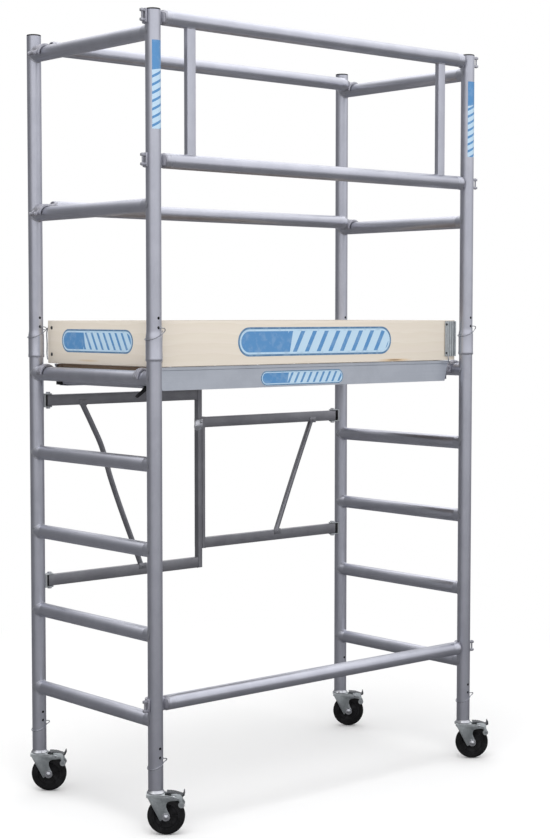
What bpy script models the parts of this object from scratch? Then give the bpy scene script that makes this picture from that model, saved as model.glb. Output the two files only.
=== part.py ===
"""Rolling frame scaffold section: two ladder frames on castors, two guard frames slipped over them,
a folding side frame, claw-ended rails and a brace, and a hooked platform with a hatch and toe boards.

X runs along the long side, Y across it (the front is -Y) and Z up from the floor. Metres.
"""
import math

import bmesh
import bpy
from mathutils import Matrix, Vector

# Driving dimensions
post_spacing_long = 1.48        # between post axes along X
post_spacing_short = 0.69       # between post axes along Y
tube_radius = 0.025
tube_bore = 0.023
rung_radius = 0.0245            # a hair under the post, so the coped joint closes cleanly
rung_bore = 0.0222
gap = 0.0003                    # left between pieces that touch
tube_sides = 16
bore_sides = 8
wheel_sides = 20
small_sides = 6
bolt_sides = 6
overcut = 0.010                 # how far a cutting tool runs past a face
rung_inset = 0.001              # how far a rung stops short of the post axes
pin_hole_reach = 0.040
sharp_angle = math.radians(35)

# Heights of the ladder frames
post_foot = 0.150
rung_first = 0.377
rung_pitch = 0.280
rung_count = 5                  # the last one is the bearer that holds the platform
post_shoulder = 1.6425          # where the lower post ends inside the socket
spigot_top = 1.720
spigot_radius = 0.0226
spigot_bore = 0.0200
swage_start = 0.050             # under the shoulder, where the bore starts to narrow
swage_end = 0.040
foot_pin_height = 0.288
joint_pin_height = 1.693
pin_hole_radius = 0.0036

# Heights of the guard frames
socket_foot = 1.554
socket_top = 1.645
socket_radius = 0.0275
socket_taper = 0.006
socket_bore = tube_radius + gap
seat_clearance = 0.001          # over the shoulder that the guard frame stands on
bore_overlap = 0.005
post_head = 2.675
cap_thickness = 0.005
cap_plug = 0.020
guard_rungs = (2.055, 2.608)

# Rails and brace
front_rail_heights = (2.6555, 2.1995)
brace_height = 0.4305
back_rail_lift = 0.022          # the back rails ride this much above the rungs that they hook on
back_rail_y = 0.290
spacer_x = 0.590
spacer_size = (0.035, 0.020)
spacer_wall = 0.002

# Claws at the rail ends, from the axis of the tube that they hold; the rail leaves along x
claw_inner = 0.0256
claw_outer = 0.0345
claw_half_height = 0.0225
claw_lip = 0.006
claw_steps = 8
neck_end = 0.048
neck_half = 0.0235
neck_half_width = 0.0210
neck_root = (0.0276, 0.0216)
neck_chamfer = 0.002
rail_overlap = 0.006            # how far a rail reaches back into its neck
rail_bore_start = 0.012         # past the neck
neck_bolt_radius = 0.004
neck_bolt_start = 0.010
neck_bolt_reach = 0.020
ear_radius = 0.0078
ear_half_gap = 0.0108
ear_half_height = 0.0190
ear_root = [(-0.0300, -0.0055), (-0.0300, 0.0160)]
latch_pivot = (-0.0445, -0.0020)
latch_pin_radius = 0.0028
latch_pin_end = 0.002
latch_half_height = 0.0104
latch_eye = 0.0066
latch_back = 0.0315
latch_face = 0.0268
latch_heel = [(-0.0365, -0.0080)]
latch_tab = [(-0.0500, 0.0120), (-0.0545, 0.0100)]
running_clearance = 0.0005      # between a pin and what turns on it

# Castors, along the trail and up
wheel_radius = 0.0625
axle = (0.034, wheel_radius)
castor_heading = math.radians(-41.0)
stem_foot = 0.1215
stem_top = 0.300
stem_nut_radius = 0.0105
king_radius = 0.0060
king_bore = 0.0066
king_bore_reach = (0.110, 0.160)
race_radius = 0.0262
race_top = 0.0050
crown_low = 0.1283
crown_high = 0.1382
crown_reach = (-0.0300, 0.0295)
crown_overlap = 0.0010
crown_step = 0.0005             # keeps the crown's faces off the legs' and the stem's
fork_inner = 0.0192
fork_outer = 0.0222
leg_back = [(-0.0310, crown_high), (-0.0310, 0.1365), (0.0150, 0.0470)]
leg_foot_radius = 0.0150
leg_front = [(0.0395, 0.1040), (0.0560, 0.1165), (0.0720, 0.1170), (0.0800, 0.1215), (0.0780, 0.1270),
             (0.0640, 0.1345), (0.0450, 0.1365), (0.0310, crown_high)]
axle_radius = 0.0050
axle_end = 0.0270
axle_nut_radius = 0.0095
axle_nut_end = 0.0275
tyre_half_width = 0.0150
wheel_section = [(0.0056, 0.0172), (0.0140, 0.0172), (0.0440, 0.0120), (0.0480, tyre_half_width),
                 (0.0580, tyre_half_width), (wheel_radius, 0.0100)]
brake_pivot = (0.0600, 0.1285)
brake_pin_radius = 0.0028
brake_pin_end = 0.001
cheek_top = [(0.0520, 0.1380), (0.0520, 0.1240), (0.0760, 0.1000)]
cheek_pad = (0.0850, 0.1010)
cheek_pad_radius = 0.0105
cheek_front = [(0.0880, 0.1180), (0.0860, 0.1320), (0.0660, 0.1400)]
cheek_inner = 0.0160
cheek_outer = 0.0182
pedal_outline = [(0.0360, 0.1395), (0.0620, 0.1370), (0.0880, 0.1290), (0.0960, 0.1320), (0.0940, 0.1460),
                 (0.0910, 0.1460), (0.0890, 0.1335), (0.0640, 0.1405), (0.0360, 0.1425)]
brake_bar = (0.0780, 0.1220)
brake_bar_radius = 0.0030
brake_bar_end = 0.0170

# Folding side frame
fold_y = post_spacing_short / 2
fold_rail_half = (0.010, 0.020)             # half thickness and half height
fold_wall = 0.002
fold_rail_end = 0.0085                      # past the pivot pin
fold_bore_start = 0.020
fold_bore_end = 0.004
left_rail_heights = (0.755, 1.400)
right_rail_heights = (0.828, 1.293)
fold_pin_reach = 0.048                      # pivot pin from the post axis
fold_pin_radius = 0.0050
fold_pin_clearance = 0.0006
fold_pin_end = 0.004
fold_hole_reach = 0.030
left_stile = (-0.0195, -0.0005)
right_stile = (0.0005, 0.0145)
stile_half_depth = 0.0125
diagonal_radius = 0.010
left_diagonal = [(-0.548, 1.392), (-0.500, 1.300), (-0.462, 1.225), (-0.420, 1.100), (-0.284, 0.764)]
right_diagonal = [(0.574, 1.284), (0.480, 1.068), (0.384, 0.838)]
bracket_thickness = 0.0038
bracket_half_width = 0.0150
bracket_eye = 0.0130
bracket_root = 0.0256
bracket_web = 0.0295
bracket_straight = 0.002
bracket_head_radius = 0.0085
bracket_head_height = 0.0055
leaf_inset = (0.002, 0.001)
leaf_thickness = 0.002
leaf_past_rails = 0.015
barrel_radius = 0.005
barrel_offset = 0.006
fold_latch_pivot = (-0.0080, 1.2960)
fold_latch_plate = (0.0005, 0.0040)
fold_latch_head = (0.0035, 0.0065)
fold_latch_head_radius = 0.0060
fold_latch_side = [(0.0080, -0.0160), (0.0080, 0.0120)]
fold_latch_drop = [(-0.0180, 0.0110), (-0.0300, -0.0020), (-0.0340, -0.0200), (-0.0290, -0.0290),
                   (-0.0170, -0.0340), (-0.0020, -0.0300)]
fold_latch_eye = 0.0120

# Platform
deck_top = 1.531
deck_thickness = 0.012
deck_half_width = 0.2965
deck_end = 0.684
beam_web = 0.300
beam_lip = 0.304
beam_lip_foot = 1.5210
beam_foot = 1.454
beam_wall = 0.003
beam_shoulder = 0.004
beam_ledge = (1.5155, 1.5187)
beam_end = 0.672
beam_end_slant = 0.25
ledge_width = 0.050             # of the side beams' ledge, which the deck and the hatch rest on
hatch_edge = -0.0475
hatch_half_width = 0.2620       # narrow enough to swing up between the back rails
hatch_clearance = 0.0015
deck_edge_gap = 0.0025
hinge_axis = (-0.0460, 1.5375)
hinge_rebate = (-0.0050, 0.190, 0.0030)     # right edge, half length and depth
hinge_leaf = 0.0025
hinge_leaf_width = 0.040
hinge_riser = (0.0015, 0.0045)
hinge_pin_radius = 0.0027
hinge_pin_half = 0.185
hinge_bore = 0.0032
hinge_bore_half = 0.200
knuckle_radius = 0.0060
knuckle_half = 0.0095
fixed_knuckles = (-0.17, 0.0, 0.17)
hatch_knuckles = (-0.14, 0.14)
hatch_knuckle_half = 0.020
hatch_leaf = (0.0010, 0.0020)               # below and above the deck's top
cross_wall = 0.003
middle_beam = (-0.0600, -0.0300)
middle_beam_heights = (1.4700, 1.5120)
end_beam = (0.656, 0.686)
end_beam_heights = (1.4600, 1.5120)
bearer_height = rung_first + rung_pitch * (rung_count - 1)
hook_inner = 0.0256
hook_outer = 0.0315
hook_arm = [(0.0560, -0.0160), (0.0560, 0.0145), (0.0345, 0.0180)]
hook_reach = (0.2700, 0.2960)
wind_pivot = (0.7000, 1.4640)
wind_y = 0.2400
wind_slope = math.radians(35)
wind_pin_radius = 0.0040
wind_bore = 0.0050
wind_eye = 0.0085
wind_lever = [(0.0300, -0.0085), (0.0500, -0.0060), (0.0530, 0.0000), (0.0500, 0.0050), (0.0300, 0.0062)]
wind_width = (0.0015, 0.0215)
lug_thickness = 0.0045
lug_reach = (0.007, 0.002)
lug_height = (0.007, 0.010)
lug_pin = (0.0010, 0.0240)

# Toe boards
board_thickness = 0.025
board_low = 1.5335
board_high = 1.6835
front_board_face = 0.3165
end_board_face = 0.7115
board_end_gap = 0.001
board_side_gap = 0.002

half_long = post_spacing_long / 2
half_short = post_spacing_short / 2
posts = {
    "rear_left": (-half_long, half_short),
    "front_left": (-half_long, -half_short),
    "rear_right": (half_long, half_short),
    "front_right": (half_long, -half_short),
}


# Materials

def make_material(name, colour, roughness, metallic):
    material = bpy.data.materials.new(name)
    material.use_nodes = True
    shader = material.node_tree.nodes["Principled BSDF"]
    shader.inputs["Base Color"].default_value = (*colour, 1.0)
    shader.inputs["Roughness"].default_value = roughness
    shader.inputs["Metallic"].default_value = metallic
    material.diffuse_color = (*colour, 1.0)
    return material


# Solids, each made as its own closed mesh

def prism(outline, low, high, frame=Matrix.Identity(4)):
    """Extrude a counter-clockwise outline of local x and y from local z = low to high."""
    mesh = bmesh.new()
    bottom = [mesh.verts.new(frame @ Vector((x, y, low))) for x, y in outline]
    face = mesh.faces.new(list(reversed(bottom)))
    extruded = bmesh.ops.extrude_face_region(mesh, geom=[face], use_keep_orig=True)
    top = [item for item in extruded["geom"] if isinstance(item, bmesh.types.BMVert)]
    bmesh.ops.translate(mesh, verts=top, vec=frame.to_3x3() @ Vector((0, 0, high - low)))
    bmesh.ops.recalc_face_normals(mesh, faces=mesh.faces)
    return mesh


def circle(radius, sides, centre=(0.0, 0.0)):
    step = 2 * math.pi / sides
    return [(centre[0] + radius * math.cos(step * i), centre[1] + radius * math.sin(step * i))
            for i in range(sides)]


def arc(radius, start, end, steps, centre=(0.0, 0.0)):
    """Points along an arc, both ends included, angles in degrees."""
    angles = [math.radians(start + (end - start) * i / steps) for i in range(steps + 1)]
    return [(centre[0] + radius * math.cos(a), centre[1] + radius * math.sin(a)) for a in angles]


def block(low, high):
    outline = [(low[0], low[1]), (high[0], low[1]), (high[0], high[1]), (low[0], high[1])]
    return prism(outline, low[2], high[2])


def axes(origin, x_axis, y_axis):
    """A frame with the given x and y directions and z square to both."""
    x_axis = Vector(x_axis).normalized()
    y_axis = Vector(y_axis).normalized()
    z_axis = x_axis.cross(y_axis)
    turn = Matrix((x_axis, y_axis, z_axis)).transposed().to_4x4()
    return Matrix.Translation(origin) @ turn


def post_axes(x, y):
    return axes((x, y, 0), (1, 0, 0), (0, 1, 0))


def y_axes(x, z):
    """Local x and y lie along X and Z, and local z runs towards -Y."""
    return axes((x, 0, z), (1, 0, 0), (0, 0, 1))


def x_axes(y, z):
    """Local x and y lie along Y and Z, and local z runs along X."""
    return axes((0, y, z), (0, 1, 0), (0, 0, 1))


def turned(profile, sides, frame=Matrix.Identity(4)):
    """Turn a closed profile of (radius, height) points about local z."""
    mesh = bmesh.new()
    rings = []
    for radius, height in profile:
        if radius == 0:
            rings.append([mesh.verts.new(frame @ Vector((0, 0, height)))])
        else:
            rings.append([mesh.verts.new(frame @ Vector((x, y, height))) for x, y in circle(radius, sides)])
    pairs = zip(rings, rings[1:] + rings[:1])
    for near, far in pairs:
        for i in range(sides):
            j = (i + 1) % sides
            corners = [near[i % len(near)], near[j % len(near)], far[j % len(far)], far[i % len(far)]]
            corners = list(dict.fromkeys(corners))
            if len(corners) > 2:
                mesh.faces.new(corners)
    bmesh.ops.recalc_face_normals(mesh, faces=mesh.faces)
    return mesh


def bent_rod(points, radius, sides):
    """A round rod along points that lie in a plane of constant Y."""
    mesh = bmesh.new()
    route = [Vector(point) for point in points]
    rings = []
    for i, point in enumerate(route):
        along = (route[min(i + 1, len(route) - 1)] - route[max(i - 1, 0)]).normalized()
        side = Vector((0, 1, 0))
        lift = side.cross(along)
        rings.append([mesh.verts.new(point + side * a + lift * b) for a, b in circle(radius, sides)])
    for near, far in zip(rings, rings[1:]):
        for i in range(sides):
            j = (i + 1) % sides
            mesh.faces.new([near[i], near[j], far[j], far[i]])
    mesh.faces.new(rings[0])
    mesh.faces.new(rings[-1])
    bmesh.ops.recalc_face_normals(mesh, faces=mesh.faces)
    return mesh


# Objects

scaffold = None


def add_object(name, mesh_data, place=(0, 0, 0)):
    """An object whose own origin is at place, though its mesh was drawn in the scaffold's frame."""
    bmesh.ops.translate(mesh_data, verts=mesh_data.verts, vec=-Vector(place))
    mesh = bpy.data.meshes.new(name)
    mesh_data.to_mesh(mesh)
    mesh_data.free()
    item = bpy.data.objects.new(name, mesh)
    item.location = place
    item.parent = scaffold
    bpy.context.scene.collection.objects.link(item)
    return item


def add_boolean(item, operation, tools):
    """Join or cut with a group of hidden tool solids."""
    group = bpy.data.collections.new(f"{item.name}_{operation.lower()}")
    bpy.context.scene.collection.children.link(group)
    for number, tool in enumerate(tools):
        solid = add_object(f"{group.name}_{number}", tool)
        solid.hide_render = True
        solid.display_type = "WIRE"
        bpy.context.scene.collection.objects.unlink(solid)
        group.objects.link(solid)
    change = item.modifiers.new(operation.title(), "BOOLEAN")
    change.operation = operation
    change.operand_type = "COLLECTION"
    change.collection = group
    change.solver = "EXACT"


def add_part(name, material, solids, cuts=(), pivot=(0, 0, 0)):
    """One sub-part: its solids joined, then its holes cut."""
    item = add_object(name, solids[0], pivot)
    item.data.materials.append(material)
    item.data.shade_smooth()
    item.data.set_sharp_from_angle(angle=sharp_angle)
    if len(solids) > 1:
        add_boolean(item, "UNION", solids[1:])
    if cuts:
        add_boolean(item, "DIFFERENCE", cuts)
    return item


# Ladder frames and guard frames

def pin_hole(x, y, height):
    return prism(circle(pin_hole_radius, small_sides), -y - pin_hole_reach, -y + pin_hole_reach,
                 y_axes(x, height))


def rung(x, height, radius, sides):
    reach = half_short - rung_inset
    return prism(circle(radius, sides), -reach, reach, y_axes(x, height))


def build_ladder_frame(name, x, material):
    heights = [rung_first + rung_pitch * i for i in range(rung_count)]
    solids = []
    cuts = []
    for y in (-half_short, half_short):
        frame = post_axes(x, y)
        outside = [(0, post_foot), (tube_radius, post_foot), (tube_radius, post_shoulder),
                   (spigot_radius, post_shoulder), (spigot_radius, spigot_top), (0, spigot_top)]
        solids.append(turned(outside, tube_sides, frame))
        low = post_foot - overcut
        high = spigot_top + overcut
        hollow = [(0, low), (tube_bore, low), (tube_bore, post_shoulder - swage_start),
                  (spigot_bore, post_shoulder - swage_end), (spigot_bore, high), (0, high)]
        cuts.append(turned(hollow, bore_sides, frame))
        cuts.append(pin_hole(x, y, foot_pin_height))
    solids += [rung(x, height, rung_radius, tube_sides) for height in heights]
    cuts += [rung(x, height, rung_bore, bore_sides) for height in heights]
    add_part(name, material, solids, cuts)


def build_guard_frame(name, x, material):
    solids = []
    cuts = []
    for y in (-half_short, half_short):
        frame = post_axes(x, y)
        outside = [(0, socket_foot), (socket_radius, socket_foot), (socket_radius, socket_top),
                   (tube_radius, socket_top + socket_taper), (tube_radius, post_head), (0, post_head)]
        solids.append(turned(outside, tube_sides, frame))
        shoulder = post_shoulder + seat_clearance
        low = socket_foot - overcut
        socket = [(0, low), (socket_bore, low), (socket_bore, shoulder), (0, shoulder)]
        cuts.append(turned(socket, tube_sides, frame))
        cuts.append(prism(circle(tube_bore, tube_sides), shoulder - bore_overlap, post_head + overcut,
                          frame))
        cuts.append(pin_hole(x, y, joint_pin_height))
    solids += [rung(x, height, rung_radius, tube_sides) for height in guard_rungs]
    cuts += [rung(x, height, rung_bore, bore_sides) for height in guard_rungs]
    add_part(name, material, solids, cuts)


def build_cap(name, x, y, material):
    plug_foot = post_head - cap_plug
    plug_radius = tube_bore - 2 * gap
    top = post_head + cap_thickness
    profile = [(0, plug_foot), (plug_radius, plug_foot), (plug_radius, post_head + gap),
               (tube_radius, post_head + gap), (tube_radius, top), (0, top)]
    add_part(name, material, [turned(profile, tube_sides, post_axes(x, y))])


# Claws, latches, rails and the brace

def claw_solids(frame, lift):
    """A cast claw about local z: the rail leaves along +x, the hook wraps over +y and opens to -y."""
    hook = ([(claw_outer, -claw_lip)] + arc(claw_outer, 0, 180, claw_steps) + [(-claw_outer, -claw_lip)]
            + [(-claw_inner, -claw_lip)] + arc(claw_inner, 180, 0, claw_steps) + [(claw_inner, -claw_lip)])
    neck_top = min(claw_outer - neck_chamfer, lift + neck_half)
    neck = [(neck_root[0], -claw_lip), (neck_end, lift - neck_half), (neck_end, lift + neck_half),
            (neck_root[1], neck_top)]
    ear = ear_root + arc(ear_radius, 100, 260, 4, latch_pivot)
    solids = [prism(hook, -claw_half_height, claw_half_height, frame),
              prism(neck, -neck_half_width, neck_half_width, frame),
              prism(ear, ear_half_gap, ear_half_height, frame),
              prism(ear, -ear_half_height, -ear_half_gap, frame)]
    pin = circle(latch_pin_radius, small_sides, latch_pivot)
    pin_end = ear_half_height + latch_pin_end
    solids.append(prism(pin, -pin_end, pin_end, frame))
    return solids


def bolt_hole(frame, lift):
    """A bolt bore through the claw's neck, which also vents the rail."""
    along = frame @ axes((0, lift, 0), (0, 1, 0), (0, 0, 1))
    hole = circle(neck_bolt_radius, small_sides)
    return prism(hole, neck_bolt_start, neck_end + neck_bolt_reach, along)


def build_latch(name, frame, material):
    """A sprung latch that closes a claw's mouth, with a thumb tab on its tail."""
    outline = (arc(latch_back, 208, 236, 3) + arc(latch_face, 236, 197, 4) + latch_heel
               + arc(latch_eye, -20, 80, 3, latch_pivot) + latch_tab
               + arc(latch_eye, 170, 250, 3, latch_pivot))
    hole = circle(latch_pin_radius + running_clearance, small_sides, latch_pivot)
    bore = prism(hole, -latch_half_height - overcut, latch_half_height + overcut, frame)
    pivot = frame @ Vector((*latch_pivot, 0))
    add_part(name, material, [prism(outline, -latch_half_height, latch_half_height, frame)], [bore], pivot)


def claw_frames(heights, y, hooks_over):
    """Frames of the claws at both ends of each rail; they wrap over the side named by hooks_over."""
    frames = {}
    for level, height in heights.items():
        for side, sign in (("left", -1), ("right", 1)):
            frames[f"{level}_{side}"] = axes((sign * half_long, y, height), (-sign, 0, 0), hooks_over)
    return frames


def rail_solid(y, height, radius, sides, inset):
    return prism(circle(radius, sides), -half_long + inset, half_long - inset, x_axes(y, height))


def build_rail(name, heights, y, lift, hooks_over, material, latch_material, with_spacers=False):
    """Tubes with a claw at each end; lift raises the tube above the axis that its claws hold."""
    rise = lift * hooks_over[2]
    levels = [height + rise for height in heights.values()]
    solids = [rail_solid(y, level, tube_radius, tube_sides, neck_end - rail_overlap) for level in levels]
    cuts = [rail_solid(y, level, rung_bore, bore_sides, neck_end + rail_bore_start) for level in levels]
    if with_spacers:
        low, high = sorted(heights.values())
        half_x = spacer_size[0] / 2
        half_y = spacer_size[1] / 2
        bore_x = half_x - spacer_wall
        bore_y = half_y - spacer_wall
        for x in (-spacer_x, spacer_x):
            solids.append(block((x - half_x, y - half_y, low), (x + half_x, y + half_y, high)))
            cuts.append(block((x - bore_x, y - bore_y, low), (x + bore_x, y + bore_y, high)))
    for end, frame in claw_frames(heights, y, hooks_over).items():
        solids += claw_solids(frame, lift)
        cuts.append(bolt_hole(frame, lift))
        build_latch(f"{name}_latch_{end}", frame, latch_material)
    add_part(name, material, solids, cuts)


# Castors

def castor_axes(x, y):
    """Local x runs along the trail, y up, and z across the wheel, from the swivel axis at the floor."""
    trail = (math.cos(castor_heading), math.sin(castor_heading), 0)
    return axes((x, y, 0), trail, (0, 0, 1))


def build_castor(name, x, y, steel, rubber, bright):
    frame = castor_axes(x, y)
    upright = post_axes(x, y)
    stem_radius = tube_bore - 2 * gap
    race_foot = crown_high + gap
    stem = [(0, stem_foot), (stem_nut_radius, stem_foot), (stem_nut_radius, crown_low - crown_step),
            (king_radius, crown_low - crown_step), (king_radius, race_foot), (race_radius, race_foot),
            (race_radius, crown_high + race_top), (tube_radius - crown_overlap, post_foot - gap),
            (stem_radius, post_foot - gap), (stem_radius, stem_top), (0, stem_top)]
    add_part(f"{name}_stem", bright, [turned(stem, bore_sides, upright)], pivot=(x, y, post_foot))

    leg = leg_back + arc(leg_foot_radius, 215, 350, 4, axle) + leg_front
    crown_side = fork_inner + crown_overlap
    crown = [(crown_reach[0], -crown_side), (crown_reach[1], -crown_side), (crown_reach[1], crown_side),
             (crown_reach[0], crown_side)]
    fork = [prism(leg, fork_inner, fork_outer, frame), prism(leg, -fork_outer, -fork_inner, frame)]
    level = upright @ Matrix.Rotation(castor_heading, 4, "Z")
    fork.append(prism(crown, crown_low, crown_high - crown_step, level))
    fork.append(prism(circle(axle_radius, small_sides, axle), -axle_end, axle_end, frame))
    nut = circle(axle_nut_radius, bolt_sides, axle)
    fork.append(prism(nut, fork_outer - crown_step, axle_nut_end, frame))
    fork.append(prism(nut, -axle_nut_end, -fork_outer + crown_step, frame))
    pin_end = fork_outer + brake_pin_end
    fork.append(prism(circle(brake_pin_radius, small_sides, brake_pivot), -pin_end, pin_end, frame))
    low, high = king_bore_reach
    king_hole = turned([(0, low), (king_bore, low), (king_bore, high), (0, high)], bore_sides, upright)
    add_part(f"{name}_fork", steel, fork, [king_hole], (x, y, crown_low))

    hub_place = frame @ Vector((*axle, 0))
    section = wheel_section + [(radius, -width) for radius, width in reversed(wheel_section)]
    wheel = turned(section, wheel_sides, frame @ Matrix.Translation((*axle, 0)))
    add_part(f"{name}_wheel", rubber, [wheel], pivot=hub_place)

    cheek = cheek_top + arc(cheek_pad_radius, 215, 395, 4, cheek_pad) + cheek_front
    pedal = [prism(pedal_outline, -cheek_outer, cheek_outer, frame),
             prism(cheek, cheek_inner, cheek_outer, frame),
             prism(cheek, -cheek_outer, -cheek_inner, frame),
             prism(circle(brake_bar_radius, small_sides, brake_bar), -brake_bar_end, brake_bar_end, frame)]
    hole = circle(brake_pin_radius + running_clearance, small_sides, brake_pivot)
    pedal_hole = prism(hole, -cheek_outer - overcut, cheek_outer + overcut, frame)
    add_part(f"{name}_brake", steel, pedal, [pedal_hole], frame @ Vector((*brake_pivot, 0)))


# Folding side frame

def flat_tube(low_x, high_x, height):
    """A rectangular tube along X in the folding frame's plane."""
    half_y, half_z = fold_rail_half
    return block((low_x, fold_y - half_y, height - half_z), (high_x, fold_y + half_y, height + half_z))


def flat_bore(low_x, high_x, height):
    half_y = fold_rail_half[0] - fold_wall
    half_z = fold_rail_half[1] - fold_wall
    return block((low_x, fold_y - half_y, height - half_z), (high_x, fold_y + half_y, height + half_z))


def build_fold_half(name, side, stile, heights, route, material):
    """Two rails, a stile at the centre and a bent diagonal; the rails turn on pins at the post."""
    pin_x = side * (half_long - fold_pin_reach)
    end_x = pin_x + side * fold_rail_end
    reach = sorted((end_x, sum(stile) / 2))
    hollow = sorted((end_x + side * fold_bore_start, stile[0 if side < 0 else 1] + side * fold_bore_end))
    top = max(heights) + fold_rail_half[1]
    foot = min(heights) - fold_rail_half[1]
    solids = [block((stile[0], fold_y - stile_half_depth, foot), (stile[1], fold_y + stile_half_depth, top))]
    cuts = []
    hole = circle(fold_pin_radius + fold_pin_clearance, small_sides)
    for height in heights:
        solids.append(flat_tube(*reach, height))
        cuts.append(flat_bore(*hollow, height))
        cuts.append(prism(hole, height - fold_hole_reach, height + fold_hole_reach,
                          post_axes(pin_x, fold_y)))
    solids.append(bent_rod([(x, fold_y, z) for x, z in route], diagonal_radius, small_sides))
    add_part(name, material, solids, cuts)


def build_fold_bracket(name, side, height, material):
    """A two-eared bracket on a post, with the pin that a folding rail turns on."""
    frame = axes((side * half_long, fold_y, height), (-side, 0, 0), (0, 1, 0))
    half_z = fold_rail_half[1] + 2 * gap
    outer_z = half_z + bracket_thickness
    eye = (fold_pin_reach, 0)
    straight = fold_pin_reach + bracket_straight
    plate = [(bracket_root, -bracket_half_width), (straight, -bracket_half_width),
             *arc(bracket_eye, -70, 70, 3, eye), (straight, bracket_half_width), (bracket_root,
                                                                                  bracket_half_width)]
    web = [(bracket_root, -bracket_half_width), (bracket_web, -bracket_half_width),
           (bracket_web, bracket_half_width), (bracket_root, bracket_half_width)]
    solids = [prism(plate, half_z, outer_z, frame), prism(plate, -outer_z, -half_z, frame),
              prism(web, -outer_z, outer_z, frame)]
    pin_end = outer_z + fold_pin_end
    solids.append(prism(circle(fold_pin_radius, small_sides, eye), -pin_end, pin_end, frame))
    head = circle(bracket_head_radius, bolt_sides, eye)
    head_end = outer_z + bracket_head_height
    solids.append(prism(head, outer_z - crown_step, head_end, frame))
    solids.append(prism(head, -head_end, -outer_z + crown_step, frame))
    add_part(name, material, solids)


def build_centre_hinge(name, material):
    """A long leaf hinge on the back of the two stiles."""
    back = fold_y + stile_half_depth + gap
    low = min(right_rail_heights) - leaf_past_rails
    high = max(right_rail_heights) + leaf_past_rails
    leaf = block((left_stile[0] + leaf_inset[0], back, low),
                 (right_stile[1] - leaf_inset[1], back + leaf_thickness, high))
    barrel = prism(circle(barrel_radius, small_sides), low, high, post_axes(0, back + barrel_offset))
    add_part(name, material, [leaf, barrel])


def build_fold_latch(name, material):
    """A D-shaped catch that drops across the joint between the stiles."""
    face = -(fold_y - stile_half_depth - gap)
    frame = y_axes(*fold_latch_pivot)
    flap = fold_latch_side + arc(fold_latch_eye, 60, 100, 2) + fold_latch_drop
    head = circle(fold_latch_head_radius, small_sides)
    solids = [prism(flap, face + fold_latch_plate[0], face + fold_latch_plate[1], frame),
              prism(head, face + fold_latch_head[0], face + fold_latch_head[1], frame)]
    add_part(name, material, solids, pivot=(fold_latch_pivot[0], -face, fold_latch_pivot[1]))


# Platform

def build_side_beam(name, side, material):
    """A channel with a ledge for the deck, an outer lip and slanted ends."""
    flange = beam_web - ledge_width
    web = beam_web - beam_wall
    floor = beam_foot + beam_wall
    ledge_low, ledge_high = beam_ledge
    outline = [(beam_web, beam_foot), (beam_lip - beam_shoulder, beam_lip_foot), (beam_lip, beam_lip_foot),
               (beam_lip, deck_top), (web, deck_top), (web, ledge_high), (flange, ledge_high), (flange,
                                                                                                ledge_low),
               (web, ledge_low), (web, floor), (flange, floor), (flange, beam_foot)]
    mesh = bmesh.new()
    ends = []
    for sign in (-1, 1):
        section = []
        for y, z in outline:
            x = sign * (beam_end + (z - beam_foot) * beam_end_slant)
            section.append(mesh.verts.new((x, side * y, z)))
        ends.append(section)
    mesh.faces.new(ends[0])
    mesh.faces.new(ends[1])
    for i in range(len(outline)):
        j = (i + 1) % len(outline)
        mesh.faces.new([ends[0][i], ends[0][j], ends[1][j], ends[1][i]])
    bmesh.ops.recalc_face_normals(mesh, faces=mesh.faces)
    add_part(name, material, [mesh])


def cross_tube(low_x, high_x, low_z, high_z):
    """The outside and the bore of a rectangular tube that spans between the side beams."""
    bore_half = deck_half_width + overcut
    outside = block((low_x, -deck_half_width, low_z), (high_x, deck_half_width, high_z))
    bore = block((low_x + cross_wall, -bore_half, low_z + cross_wall),
                 (high_x - cross_wall, bore_half, high_z - cross_wall))
    return outside, bore


def build_end_beam(name, side, material):
    """A cross tube with a hook at each end that rests on the bearer, and a lug for the wind lock."""
    low_x, high_x = sorted((side * end_beam[0], side * end_beam[1]))
    outside, bore = cross_tube(low_x, high_x, *end_beam_heights)
    frame = axes((side * half_long, 0, bearer_height), (-side, 0, 0), (0, 0, 1))
    hook = hook_arm + arc(hook_outer, 38, 186, 11) + arc(hook_inner, 186, -38, 14)
    low, high = hook_reach
    solids = [outside, prism(hook, low, high, frame), prism(hook, -high, -low, frame)]
    lug = side * wind_y
    lug_low, lug_high = sorted((lug - side * lug_thickness, lug))
    x_low, x_high = sorted((side * (wind_pivot[0] + lug_reach[0]), side * (end_beam[1] - lug_reach[1])))
    solids.append(block((x_low, lug_low, wind_pivot[1] - lug_height[0]),
                        (x_high, lug_high, wind_pivot[1] + lug_height[1])))
    pin_low, pin_high = sorted((-(lug - side * lug_pin[0]), -(lug + side * lug_pin[1])))
    pin = circle(wind_pin_radius, small_sides)
    solids.append(prism(pin, pin_low, pin_high, y_axes(side * wind_pivot[0], wind_pivot[1])))
    add_part(name, material, solids, [bore])


def build_wind_lock(name, side, material):
    """A lever that turns up under the bearer and keeps the platform from lifting off."""
    along = (side * math.cos(wind_slope), 0, -math.sin(wind_slope))
    up = (side * math.sin(wind_slope), 0, math.cos(wind_slope))
    frame = axes((side * wind_pivot[0], 0, wind_pivot[1]), along, up)
    outline = arc(wind_eye, 60, 290, 8) + wind_lever
    low = -wind_y - wind_width[1]
    high = -wind_y - wind_width[0]
    bore = prism(circle(wind_bore, small_sides), low - overcut, high + overcut, frame)
    pivot = (side * wind_pivot[0], side * (wind_y + sum(wind_width) / 2), wind_pivot[1])
    add_part(name, material, [prism(outline, low, high, frame)], [bore], pivot)


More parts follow.
